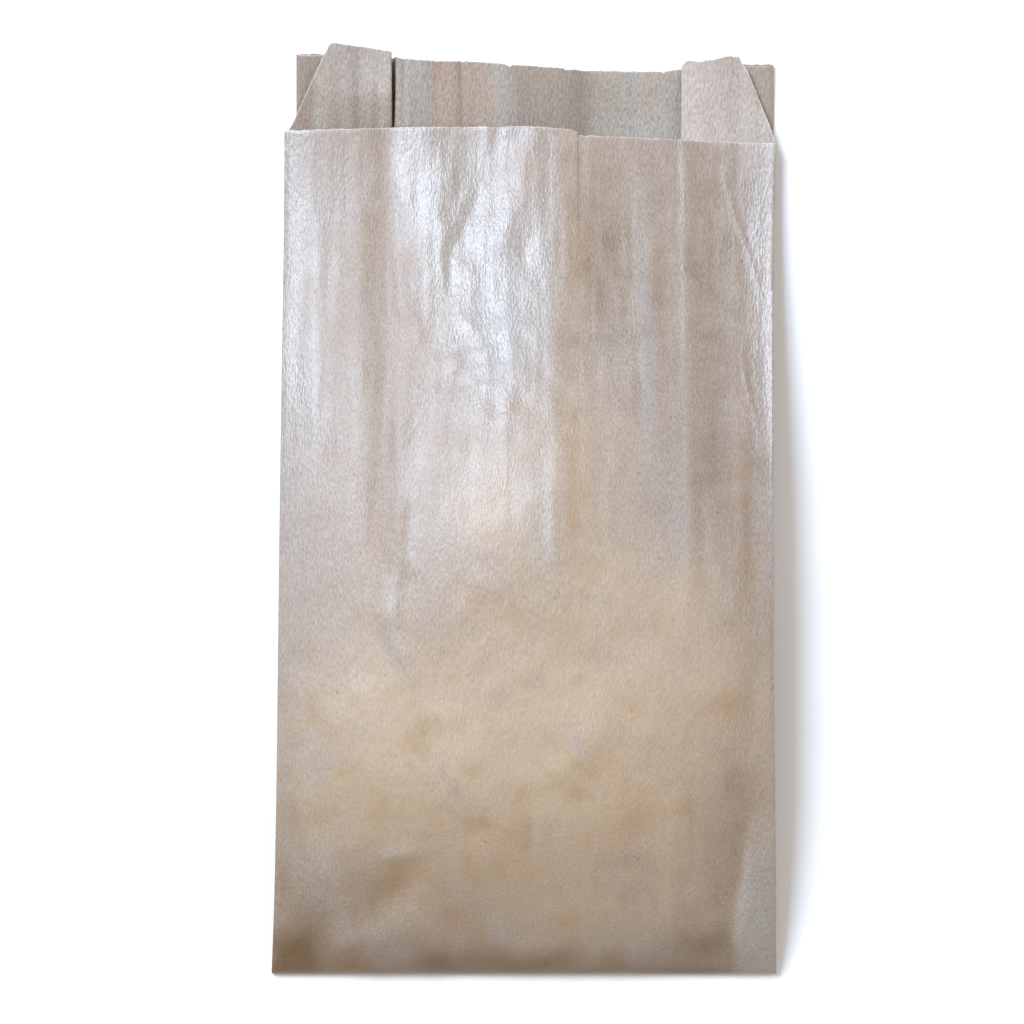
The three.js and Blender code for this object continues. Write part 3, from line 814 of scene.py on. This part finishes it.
print(len(FOLD_PAINTED_SHADE), "dark places along the bottom fold")

# %% The pleats and the glued seam, as they show through, and a painted shadow at the seam
PLEAT_SHADE = 0.22


def pleats_behind(x, y):
    left = (1 - smooth(x, -48.2, -46.8)) * smooth(y, 10, 70)
    right = smooth(x, 55.6, 57.2) * smooth(y, -40, 10) * (1 - smooth(y, 124, 134))
    return PLEAT_SHADE * left + PLEAT_SHADE * right


def seam_warmth(x, y):
    """The glue's warm stripe."""
    return np.exp(-(((x - 16.5) / np.where(x < 16.5, 3.5, 6.5)) ** 2)) * smooth(y, -30, 20)


def seam_edge_shadow(x, y):
    """A thin painted shadow beside the overlap's edge."""
    return np.exp(-(((x - SEAM_RIGHT_X - 0.4) / 0.8) ** 2)) * smooth(y, 60, 130)


print("the seam's stripe is", SEAM_RIGHT_X - SEAM_LEFT_X, "mm of double paper")

# %% Where the paper shines
# duller places: middle x, y, half length, half width, turn and strength
DULL = [(-51.5, 55, 100, 8, 90, 0.45), (-41.5, 88, 17, 4.5, 90, 0.315), (19, 120, 26, 13, 0, 0.3)]
SHEEN_LOW, SHEEN_DIP, SHEEN_DIP_X, SHEEN_DIP_WIDTH, SHEEN_FADE = 38, 32, -10, 18, 60
# y and x of the line from which a flat facet, painted paler as a highlight, runs out to the right crease
FACET_LINE = [(-163, 73), (-132, 75.3), (-114, 77.2), (-100, 79)]


def gloss_at(x, y):
    """Strongest in the middle above the croissants, and along both side creases."""
    middle = smooth(x, -48, -45) * (1 - smooth(x + 2 * noise(x, y, 9, 20, 38), 6, 16))
    low_end = SHEEN_LOW - SHEEN_DIP * np.exp(-(((x - SHEEN_DIP_X) / SHEEN_DIP_WIDTH) ** 2))
    rims = smooth(-x, 70, 82) + smooth(x, 76, 83)
    shiny = 0.5 * middle * smooth(y, low_end, low_end + SHEEN_FADE) + 0.5 * rims * smooth(y, -80, 30)
    return 0.5 + shiny - ovals(x, y, DULL)


def facet_at(x, y):
    line_x = np.interp(y, *points_of(FACET_LINE)) + 1.3 * noise(x, y, 4, 7, 76)
    uneven = 0.9 + 0.5 * noise(x, y, 5, 11, 77)
    return smooth(x - line_x, -1.2, 2.4) * (1 - smooth(y, -122, -100)) * uneven


print("gloss in the middle of the sheen:", round(float(gloss_at(-10, 100)), 2))

# %% All marks on the front panel
def front_marks(x, y):
    """Each mark adds up what the last cells found; the shares were set one after another."""
    wander = wandering(x, y)
    touching = touched(*wander)
    mottled = noise(*wander, 12, 9, 31) + 0.8 * noise(*wander, 5, 4.5, 39)
    patchy = 0.17 * mottled + 0.12 * noise(x, y, 3.5, 6, 32)
    # pale holds the painted highlights
    pale, streaks, folded = ovals(x, y, PAINTED_HIGHLIGHTS), streaks_at(x, y), folded_layers(x, y)
    # painted shade at the darkest places along the bottom fold
    dark = ovals(x, y, FOLD_PAINTED_SHADE)
    gloss, facet, warmth = gloss_at(x, y), facet_at(x, y), seam_warmth(x, y)
    # the layers behind the paper, with painted shade along the bottom fold and at the shadowed places
    behind_and_shade = pleats_behind(x, y) + folded + 0.30 * dark + ovals(x, y, SHADOWS)
    # the painted shadow beside the seam, and the glue's warm stripe
    seam = 0.22 * seam_edge_shadow(x, y) + 0.10 * warmth
    # painted highlights along the pale streaks and on the facet
    lighter = 0.5 * streaks + 0.3 * np.minimum(streaks, 0) + 0.12 * facet
    buttery = 0.16 * np.maximum(mottled - 0.2, 0) * touching + 0.10 * oval(x, y, *BROWNED)
    # the darker band over the bottom fold is painted browner as well
    browner_fold_band = folded * (1 - 0.8 * np.clip(dark, 0, 1)) * (1 - 0.7 * smooth(x, 35, 60))
    return {
        "glow": touching * (1 + 1.6 * patchy - 0.8 * pale) + 0.32 * warmth,
        "layers_and_shade": behind_and_shade - 0.12 * pale + 0.6 * patchy + seam - lighter,
        "stain": stained(x, y) * (1 + 2.5 * patchy) + buttery + 0.38 * browner_fold_band,
        # this mark paints a paler, bluish sheen: it follows the gloss, the painted highlights, pale streaks
        # and the facet
        "cool_and_sheen": 0.7 * (gloss - 0.3) + 0.3 * patchy + pale + 1.5 * streaks + 0.6 * facet - 0.6 * folded,
        "gloss": gloss + patchy + streaks,
    }


print("marks in the middle of the bag:",
      {name: round(float(v), 2) for name, v in front_marks(0.0, 0.0).items()})

# %% Marks on the inside, which shows on the lip
# x on the lip, how grey-blue, how dark; the grey-blue partly paints a reflection, and the dark
# in the cleft beside the left ear and at the lip's left end is painted shade
INNER_STREAKS = [
    (-81, 0.2, 0.9), (-47.5, 0.0, 0.45), (-45.6, 0.6, 0.3), (-44.6, 0.9, 0.0), (-43.2, 0.9, 0.22),
    (-41.5, 1.0, 0), (-39.6, 0.9, 0.3), (-37.8, 0.8, 0.14), (-34, 0.8, 0.36), (-33.3, 0.7, 0.3),
    (-32.9, 0.05, 0.06), (-28, 0, 0.05), (-24, 0, 0.26), (-22.8, 0, 0.5), (-21.6, 0, 0.1),
    (-16, 0, 0), (-11.4, 0.05, 0.08), (-10.4, 0.8, 0.2), (-5, 0.7, 0.26), (-2.9, 0.6, 0.3),
    (-2, 0.2, 0.35), (12, 0.3, 0.3), (20, 0.3, 0.45), (27, 0.6, 0.18), (45, 0.75, 0.02),
    (57, 0.6, 0.1), (78, 0.2, 0.62), (89, 0.2, 0.62),
]


def inner_marks(x, y):
    xs = [s[0] for s in INNER_STREAKS]
    wander = x + 0.6 * noise(x, y, 14, 18, 41)
    patchy = 0.14 * noise(x, y, 9, 16, 42) + 0.16 * noise(x, y, 1.9, 30, 43)
    return {
        "glow": 0 * x,
        "layers_and_shade": np.interp(wander, xs, [s[2] for s in INNER_STREAKS]) + 0.4 * patchy,
        "stain": 0 * x,
        "cool_and_sheen": np.interp(wander, xs, [s[1] for s in INNER_STREAKS]) + patchy,
        "gloss": 0 * x,
    }


print(len(INNER_STREAKS), "streaks along the lip")

# %% Marks on the ears
EAR_PALE = {-1: 0.0, 1: 0.65}
EAR_COOL = {-1: 0.32, 1: 0.5}


def ear_marks(side, x, y):
    patchy = noise(x, y, 8, 18, 44 + side)
    drawn = noise(x, y, 2.3, 45, 48 + side)
    shade = 0.24 - 0.20 * smooth(x, -60, -50) if side < 0 else 0.06 + 0.14 * smooth(x, 62, 74)
    return {
        "glow": EAR_PALE[side] + 0.15 * patchy + 0.1 * drawn,
        "layers_and_shade": shade + 0.08 * patchy - 0.09 * drawn,
        "stain": 0 * x,
        "cool_and_sheen": EAR_COOL[side] + 0.3 * noise(x, y, 7, 14, 46 + side) + 0.25 * drawn,
        "gloss": 0 * x,
    }


print("the right ear is paler than the left one by", EAR_PALE[1] - EAR_PALE[-1])

# %% [markdown]
# ## Three finishes of one paper
# Outside, the paper is calendered: pressed so smooth that it has a satin sheen, which makes the creases
# visible at all. Inside it is dull. The cut edges are pale. All three have the short fibres of kraft
# paper, drawn out along the bag, which is the way the paper ran through the mill, and outside a dark
# fleck of bark shows here and there. Noise nodes in the object's own space keep all this at its real
# size, with no picture to stretch.

# %% Colours and fibre sizes
PAPER = (0.345, 0.264, 0.205, 1)
# a paler, bluish colour that paints the satin sheen where the paper shines
BLUISH_SHEEN = (0.345, 0.315, 0.285, 1)
GOLDEN = (0.480, 0.355, 0.238, 1)
# darker where more layers lie behind the paper, and painted shade in hollows, on slopes and along the fold
LAYERED_AND_SHADE = (0.150, 0.088, 0.038, 1)
BUTTERY = (0.370, 0.215, 0.082, 1)
FLECK = (0.130, 0.075, 0.048, 1)
INNER_WARM = (0.350, 0.256, 0.188, 1)
# grey-blue on the inside, partly a painted reflection
INNER_COOL = (0.405, 0.365, 0.315, 1)
INNER_PALE = (0.490, 0.415, 0.355, 1)
# darker streaks on the inside, and painted shade
INNER_DARK_AND_SHADE = (0.100, 0.062, 0.042, 1)
CUT = (0.640, 0.580, 0.520, 1)
FIBRES = (2300, 620, 2300)  # fibres per metre across, along and through the paper
TUFTS = (1250, 380, 1250)  # small bundles of fibres
FLECKS = (700, 450, 700)  # most are left out, so far fewer show
print("colours ready")

# %% Helpers: a material and its nodes
COLOUR_A, COLOUR_B, COLOUR_OUT = 6, 7, 2  # a mix node's sockets for colours


def start_material(name, roughness):
    material = bpy.data.materials.new(name)
    material.use_nodes = True
    surface = material.node_tree.nodes["Principled BSDF"]
    surface.inputs["Roughness"].default_value = roughness
    return material, material.node_tree, surface


def feed(tree, socket, value):
    if isinstance(value, bpy.types.NodeSocket):
        tree.links.new(value, socket)
    else:
        socket.default_value = value


def mark(tree, name):
    node = tree.nodes.new("ShaderNodeAttribute")
    node.attribute_name = name
    return node.outputs["Fac"]


def mixed(tree, share, a, b, kind="MIX"):
    node = tree.nodes.new("ShaderNodeMix")
    node.data_type = "RGBA"
    node.blend_type = kind
    feed(tree, node.inputs["Factor"], share)
    feed(tree, node.inputs[COLOUR_A], a)
    feed(tree, node.inputs[COLOUR_B], b)
    return node.outputs[COLOUR_OUT]


def spread(tree, value, low, high, lowest=0, highest=1):
    """Turns a value that runs from lowest to highest into one that runs from low to high."""
    node = tree.nodes.new("ShaderNodeMapRange")
    node.inputs["From Min"].default_value = lowest
    node.inputs["From Max"].default_value = highest
    node.inputs["To Min"].default_value = low
    node.inputs["To Max"].default_value = high
    tree.links.new(value, node.inputs["Value"])
    return node.outputs["Result"]


print("node helpers ready")

# %% Helpers: specks and fibres
NOISE_USUAL = (0.3, 0.7)  # nearly all of a noise node's values lie between these
FLECK_LEVEL = (0.84, 0.88)  # only its very highest ones make a fleck


def speckle(tree, per_metre, detail, low, high, level=NOISE_USUAL):
    """Noise of that fineness, spread from low to high."""
    place = tree.nodes.new("ShaderNodeTexCoord")
    scale = tree.nodes.new("ShaderNodeMapping")
    scale.inputs["Scale"].default_value = per_metre
    grain = tree.nodes.new("ShaderNodeTexNoise")
    grain.inputs["Scale"].default_value = 1
    grain.inputs["Detail"].default_value = detail
    tree.links.new(place.outputs["Object"], scale.inputs["Vector"])
    tree.links.new(scale.outputs["Vector"], grain.inputs["Vector"])
    return spread(tree, grain.outputs["Fac"], low, high, *level)


def bumped(tree, surface, per_metre, depth_mm, under=None):
    bump = tree.nodes.new("ShaderNodeBump")
    bump.inputs["Distance"].default_value = depth_mm * MM
    feed(tree, bump.inputs["Height"], speckle(tree, per_metre, 2, 0, 1))
    if under:
        tree.links.new(under.outputs["Normal"], bump.inputs["Normal"])
    tree.links.new(bump.outputs["Normal"], surface.inputs["Normal"])
    return bump


def fibrous(tree, surface, colour, low, depth_mm, share=1):
    """Puts the fibres into a colour, down to low times its brightness, and into the surface."""
    fibres = speckle(tree, FIBRES, 3, low, 2 - low)
    feed(tree, surface.inputs["Base Color"], mixed(tree, share, colour, fibres, "MULTIPLY"))
    tufts = bumped(tree, surface, TUFTS, depth_mm)
    bumped(tree, surface, FIBRES, 0.4 * depth_mm, tufts)


print("fibre helpers ready")

# %% The smooth outside
MATT, SATIN = 0.62, 0.35  # roughness where nothing shines, and in the strongest sheen
GREASEPROOF_IOR = 1.66
FLECK_SHARE = 0.5
GLOWING_FIBRES = 0.4  # the fibres show less where a croissant shows through

outside, tree, surface = start_material("greaseproof outside", SATIN)
surface.inputs["IOR"].default_value = GREASEPROOF_IOR
colour = PAPER
# the first mark paints a paler, bluish sheen, and the third the darker layers behind with painted shade
tones = (("cool_and_sheen", BLUISH_SHEEN), ("glow", GOLDEN), ("layers_and_shade", LAYERED_AND_SHADE), ("stain", BUTTERY), ("edge", CUT))
for name, tone in tones:
    colour = mixed(tree, mark(tree, name), colour, tone)
colour = mixed(tree, speckle(tree, FLECKS, 0, 0, FLECK_SHARE, FLECK_LEVEL), colour, FLECK)
fibrous(tree, surface, colour, 0.77, 0.085, spread(tree, mark(tree, "glow"), 1, GLOWING_FIBRES))
feed(tree, surface.inputs["Roughness"], spread(tree, mark(tree, "gloss"), MATT, SATIN))
print("outside:", len(tree.nodes), "nodes")

# %% The dull inside
inside, tree, surface = start_material("greaseproof inside", MATT)
colour = INNER_WARM
for name, tone in (("cool_and_sheen", INNER_COOL), ("glow", INNER_PALE), ("layers_and_shade", INNER_DARK_AND_SHADE), ("edge", CUT)):
    colour = mixed(tree, mark(tree, name), colour, tone)
fibrous(tree, surface, colour, 0.74, 0.12)
print("inside:", len(tree.nodes), "nodes")

# %% The pale cut edges
cut, tree, surface = start_material("cut paper edge", 0.7)
fibrous(tree, surface, CUT, 0.85, 0.03)
print("cut edge:", len(tree.nodes), "nodes")

# %% [markdown]
# ## The front sheets
# The front panel is in two parts, because the paper tube is glued there: the left part ends on top of the
# right one in a straight lengthwise seam. Each part also carries the upper half of its pleat, so its grid
# runs from the inner fold, out to the crease, round it, and back over the croissants to the seam. We make
# it column by column, so that every column is one lengthwise line on the paper.

# %% Helper: one column of places
ROUND_LENGTH, ROUND_Z = 1.7, 1.4  # the bottom fold's rounding
BOTTOM_INSET = 2.2  # the layers inside the fold end a little before it


def wrap_down(y, z):
    """Rolls the last bit of a sheet down round the bottom fold."""
    left = np.clip((y - BOTTOM_Y) / ROUND_LENGTH, 0, 1)
    return ROUND_Z + (z - ROUND_Z) * np.sqrt(1 - (1 - left) ** 2)


def column(place, top, bottom=BOTTOM_Y):
    """A lengthwise line from bottom to top, where place tells x and z for every y."""
    y = mix(bottom, top, ROWS)
    x, z = place(y)
    return np.stack([x + 0 * y, y, wrap_down(y, z)], axis=1)


print("a column has", len(column(lambda y: (0, front_z(0 * y, y)), FRONT_EDGE_Y)), "places")

# %% The pleat's part of a front sheet
LEG_SHARES = (0.945, 0.965, 0.985)  # just past the inner fold, on the half below
FOLD_ANGLES = np.radians([-90, -50, -15, 15, 50, 90])
PLEAT_SHARES = np.linspace(1, 0, 34)[1:-1]


def fold_bend(side, angle):
    """A line round the inner fold, at that angle."""
    def place(y):
        x, z_high = pleat_point(side, 1, y, False)
        z_low = pleat_point(side, 1, y, True)[1]
        radius = (z_high - z_low) / 2
        return x - side * radius * np.cos(angle), (z_high + z_low) / 2 + radius * np.sin(angle)
    return place


def pleat_columns(side):
    low, fold_top = BOTTOM_Y + BOTTOM_INSET, ear_top(side, FOLD_X[side])
    made = [column(lambda y: pleat_point(side, share, y, True), fold_top, low) for share in LEG_SHARES]
    made += [column(fold_bend(side, angle), fold_top, low) for angle in FOLD_ANGLES]
    for share in PLEAT_SHARES:
        x_at_mouth = mix(panel_x(side, FRONT_EDGE_Y), FOLD_X[side], share)
        top = ear_top(side, x_at_mouth) + ragged(np.array([x_at_mouth]), 51)[0]
        made.append(column(lambda y: pleat_point(side, share, y, False), top, low))
    return made


print(len(pleat_columns(-1)), "columns on a pleat")

# %% The panel's part of a front sheet
CREASE_ANGLES = np.radians([90, 125, 155, 180, 205, 235, 270])
PANEL_COLUMNS = 128
SEAM_END_X = {-1: SEAM_RIGHT_X, 1: SEAM_LEFT_X}
STEP_HEIGHT = {-1: LAYER, 1: 0.0}  # the left part lies on the right one
STEP_HELD_DOWN = 0.12  # away from the mouth the glue holds the step this low
EDGE_DROP, EDGE_DROP_LENGTH = 0.25, 0.9  # the cut edge bends down a little


def crease_bend(side, angle):
    """A line round the front crease, at that angle."""
    def place(y):
        x = panel_x(side, y)
        z = front_z(x, y) - CREASE_ROUND + CREASE_ROUND * np.sin(angle)
        return x - side * CREASE_ROUND * (1 + np.cos(angle)), z
    return place


def panel_line(side, share, top):
    """A line on the panel, at that share of the way from the crease to the seam."""
    def place(y):
        x = mix(panel_x(side, y) - side * CREASE_ROUND, SEAM_END_X[side], share)
        step = STEP_HEIGHT[side] * smooth(x, SEAM_LEFT_X - 2, SEAM_LEFT_X + 1)
        step = step * mix(STEP_HELD_DOWN, 1, smooth(y, 80, 130))
        return x, front_z(x, y) + step - EDGE_DROP * np.clip((y - top) / EDGE_DROP_LENGTH + 1, 0, 1)
    return place


def panel_columns(side):
    made = []
    top = front_edge_y(side, panel_x(side, FRONT_EDGE_Y))
    for angle in CREASE_ANGLES[::-1]:
        bottom = mix(BOTTOM_Y + BOTTOM_INSET, BOTTOM_Y, smooth((270 - np.degrees(angle)) / 180, 0, 1))
        made.append(column(crease_bend(side, angle), top, bottom))
    for share in np.linspace(0, 1, PANEL_COLUMNS)[1:]:
        x_mouth = mix(panel_x(side, FRONT_EDGE_Y) - side * CREASE_ROUND, SEAM_END_X[side], share)
        top = front_edge_y(side, x_mouth) + ragged(np.array([x_mouth]), 52)[0]
        made.append(column(panel_line(side, share, top), top))
    return made


left_grid = np.stack(pleat_columns(-1) + panel_columns(-1), axis=1)
right_grid = np.stack(pleat_columns(1) + panel_columns(1), axis=1)[:, ::-1]
print("left front grid", left_grid.shape, "right front grid", right_grid.shape)

# %% Make both front sheets
PLEAT_COLUMNS = len(LEG_SHARES) + len(FOLD_ANGLES) + len(PLEAT_SHARES)


def sheet_marks(side, grid, on_pleat):
    """Front marks on the panel, ear marks on the pleat's columns."""
    x, y = grid[..., 0], grid[..., 1]
    front, ear = front_marks(x, y), ear_marks(side, x, y)
    pleat_part = np.zeros(x.shape, bool)
    pleat_part[:, on_pleat] = True
    return {name: np.where(pleat_part, ear[name], front[name]) for name in front}


papers = (outside, inside, cut)
sheet("front_left", left_grid, LAYER, papers, sheet_marks(-1, left_grid, slice(0, PLEAT_COLUMNS)))
sheet("front_right", right_grid, LAYER, papers, sheet_marks(1, right_grid, slice(-PLEAT_COLUMNS, None)))

# %% [markdown]
# ## The back sheet
# One sheet makes the back panel, the lower half of both pleats and the lip. Its face is the inside of the
# bag, which is what the lip shows. Its rows are wide apart under the croissants, where nothing shows, and
# close together on the lip.

# %% Rows and lines of the back sheet
BACK_ROW_STEP, LIP_ROW_STEP = 2.6, 1.0
BACK_LENGTH = LIP_START_Y - BOTTOM_Y - ROUND_LENGTH  # from the bottom fold to the lip
low_rows = row_steps(BOTTOM_Y + ROUND_LENGTH, LIP_START_Y, BACK_ROW_STEP, (1, 0)) * BACK_LENGTH
high_rows = row_steps(LIP_START_Y, LIP_EDGE[0][1], LIP_ROW_STEP, (0, 1)) * (LIP_EDGE[0][1] - LIP_START_Y)
high_rows = high_rows[high_rows > 0.5] + BACK_LENGTH
BACK_ROWS = np.concatenate([low_rows, high_rows]) / high_rows[-1]
BACK_SHARES = np.linspace(1, 0, 30)[1:-1] * LEG_SHARES[0]
BACK_LEFT, BACK_RIGHT = LIP_LEFT_X + LAYER + FOLD_ROUND, LIP_RIGHT_X - LAYER - FOLD_ROUND


def back_column(place, top):
    y = mix(BOTTOM_Y + ROUND_LENGTH, top, BACK_ROWS)
    x, z = place(y)
    return np.stack([x + 0 * y, y, z], axis=1)


def back_bend(side, angle):
    """A line round the back crease, at that angle."""
    def place(y):
        x = back_crease_x(side, y)
        middle = back_face_z(x, y) + FOLD_ROUND
        return x - side * (LAYER + FOLD_ROUND * (1 + np.cos(angle))), middle + FOLD_ROUND * np.sin(angle)
    return place


def back_line(share):
    """A line on the back panel, at that share of the way from its left crease to its right one."""
    def place(y):
        left = back_crease_x(-1, y) + LAYER + FOLD_ROUND
        right = back_crease_x(1, y) - LAYER - FOLD_ROUND
        x = mix(left, right, share)
        return x, back_face_z(x, y)
    return place


print(len(BACK_ROWS), "rows of places along the back")

# %% Build the back sheet
CREASE_CUT_Y = 150.0


def back_side(side):
    """The lower half of a pleat, and the crease that joins it to the back panel."""
    made = []
    for share in BACK_SHARES:
        x_at_mouth = mix(back_crease_x(side, FRONT_EDGE_Y + 9), FOLD_X[side], share)
        made.append(back_column(lambda y: pleat_point(side, share, y, True), lip_edge_y(x_at_mouth) - 0.5))
    for angle in CREASE_ANGLES:
        made.append(back_column(back_bend(side, angle), lip_edge_y(back_crease_x(side, CREASE_CUT_Y))))
    return made


def back_middle():
    """The back panel and the lip, with fine columns at the cleft."""
    fine = np.arange(CLEFT_X - 1.5, CLEFT_X + 4, 0.3)
    coarse_left = np.arange(BACK_LEFT + 1.2, fine[0] - 0.5, 1.3)
    coarse_right = np.arange(fine[-1] + 0.9, BACK_RIGHT - 0.8, 1.05)
    made = []
    for x_mouth in np.concatenate([coarse_left, fine, coarse_right]):
        share = (x_mouth - BACK_LEFT) / (BACK_RIGHT - BACK_LEFT)
        made.append(back_column(back_line(share), lip_edge_y(x_mouth) + ragged(np.array([x_mouth]), 53)[0]))
    return made


back_grid = np.stack(back_side(-1) + back_middle() + back_side(1)[::-1], axis=1)
print("back grid", back_grid.shape)

# %% Make the back sheet
HIDDEN_COLUMNS = len(BACK_SHARES) + 4  # the pleat's lower half and half of its crease
HIDDEN_SHADE = {-1: 0.55, 1: 0.2}

back_marks = inner_marks(back_grid[..., 0], back_grid[..., 1])
for side, columns in ((-1, slice(0, HIDDEN_COLUMNS)), (1, slice(-HIDDEN_COLUMNS, None))):
    back_marks["layers_and_shade"][:, columns] = HIDDEN_SHADE[side]
    back_marks["cool_and_sheen"][:, columns] = 0.15
sheet("back_and_lip", back_grid, LAYER, (inside, outside, cut), back_marks)

# %% [markdown]
# ## The folded bottom
# All the layers together are turned under by 15 mm and glued down. From above only the rounded fold
# shows. The rest of this flap is on the underside, and the bag rests on it. A thicker sheet stands for
# the layers, since they are pressed flat on each other.

# %% The flap under the bottom
FLAP_LENGTH, FLAP_THICKNESS = 15, 1.1
FLAP_INSET = 0.7  # it is a little narrower than the fold, so it never shows beside it
FLAP_COLUMNS, FLAP_ROWS, TURN_ROWS = 170, 12, 7
FLAP_WAVE = 0.25  # its glued end isn't quite straight

turn = np.radians(np.linspace(0, 90, TURN_ROWS))
flat_y = np.linspace(BOTTOM_Y + ROUND_LENGTH + 1, BOTTOM_Y + FLAP_LENGTH, FLAP_ROWS)
run_y = np.concatenate([BOTTOM_Y + ROUND_LENGTH * (1 - np.cos(turn)), flat_y])[:, None]
run_z = np.concatenate([ROUND_Z * (1 - np.sin(turn)), np.zeros(FLAP_ROWS)])[:, None]
run_x = np.linspace(right_x(BOTTOM_Y), left_x(BOTTOM_Y), FLAP_COLUMNS)
inset = FLAP_INSET * smooth(run_y, BOTTOM_Y + 0.5, BOTTOM_Y + 2)
wave = FLAP_WAVE * noise(run_x, 0 * run_x, 6, 5, 61) * (run_y > BOTTOM_Y + 5)
flap_x = mix(right_x(run_y) - inset, left_x(run_y) + inset, np.linspace(0, 1, FLAP_COLUMNS))
flap_grid = np.stack([flap_x, run_y + wave, run_z + 0 * flap_x], axis=-1)
sheet("bottom_flap", flap_grid, FLAP_THICKNESS, papers, front_marks(flap_grid[..., 0], flap_grid[..., 1]))

# %% [markdown]
# ## Floor and light
# The bag lies on a plain white surface. A large soft light stands high behind the mouth, a little to the
# left: from there its reflection slides over the satin paper and picks out every crease. A much weaker
# one on the right keeps the far flanks from going flat, and a plain even sky fills the shadows.

# %% Floor
FLOOR_SIZE = 4.0
FLOOR_TONES = ((0.94, 0.94, 0.94, 1), (0.96, 0.96, 0.96, 1))
FLOOR_CLOUDS = (30, 30, 30)

half = FLOOR_SIZE / 2
floor_mesh = bpy.data.meshes.new("floor")
corners = [(-half, -half, 0), (half, -half, 0), (half, half, 0), (-half, half, 0)]
floor_mesh.from_pydata(corners, [], [(0, 1, 2, 3)])
floor = bpy.data.objects.new("floor", floor_mesh)
bpy.context.scene.collection.objects.link(floor)
white, tree, surface = start_material("white table", 0.9)
feed(tree, surface.inputs["Base Color"], mixed(tree, speckle(tree, FLOOR_CLOUDS, 2, 0, 1), *FLOOR_TONES))
floor_mesh.materials.append(white)
print("floor", FLOOR_SIZE, "m wide")

# %% Light
SKY = (0.465, 0.438, 0.402, 1)


def softbox(name, towards, away, wide, long, watts, colour):
    """A lit rectangle that faces the bag: its direction and distance, its sides in metres, its power."""
    lamp = bpy.data.lights.new(name, "AREA")
    lamp.shape = "RECTANGLE"
    lamp.size, lamp.size_y = wide, long
    lamp.energy = watts
    lamp.color = colour
    box = bpy.data.objects.new(name, lamp)
    direction = np.array(towards) / np.linalg.norm(towards)
    box.location = tuple(direction * away)
    box.rotation_euler = (-float(np.arcsin(direction[1])), float(np.arctan2(direction[0], direction[2])), 0)
    bpy.context.scene.collection.objects.link(box)
    print(name, "at", [round(v, 2) for v in box.location])


softbox("softbox", (-0.45, 0.50, 0.74), 2.2, 0.98, 1.1, 60, (0.82, 0.97, 1.20))
softbox("fill", (0.75, 0.12, 0.65), 2.2, 1.2, 1.2, 11, (1.0, 1.0, 1.04))

world = bpy.data.worlds.new("sky")
world.use_nodes = True
world.node_tree.nodes["Background"].inputs["Color"].default_value = SKY
bpy.context.scene.world = world
bpy.context.scene.view_settings.view_transform = "Standard"
print("sky", SKY[:3])
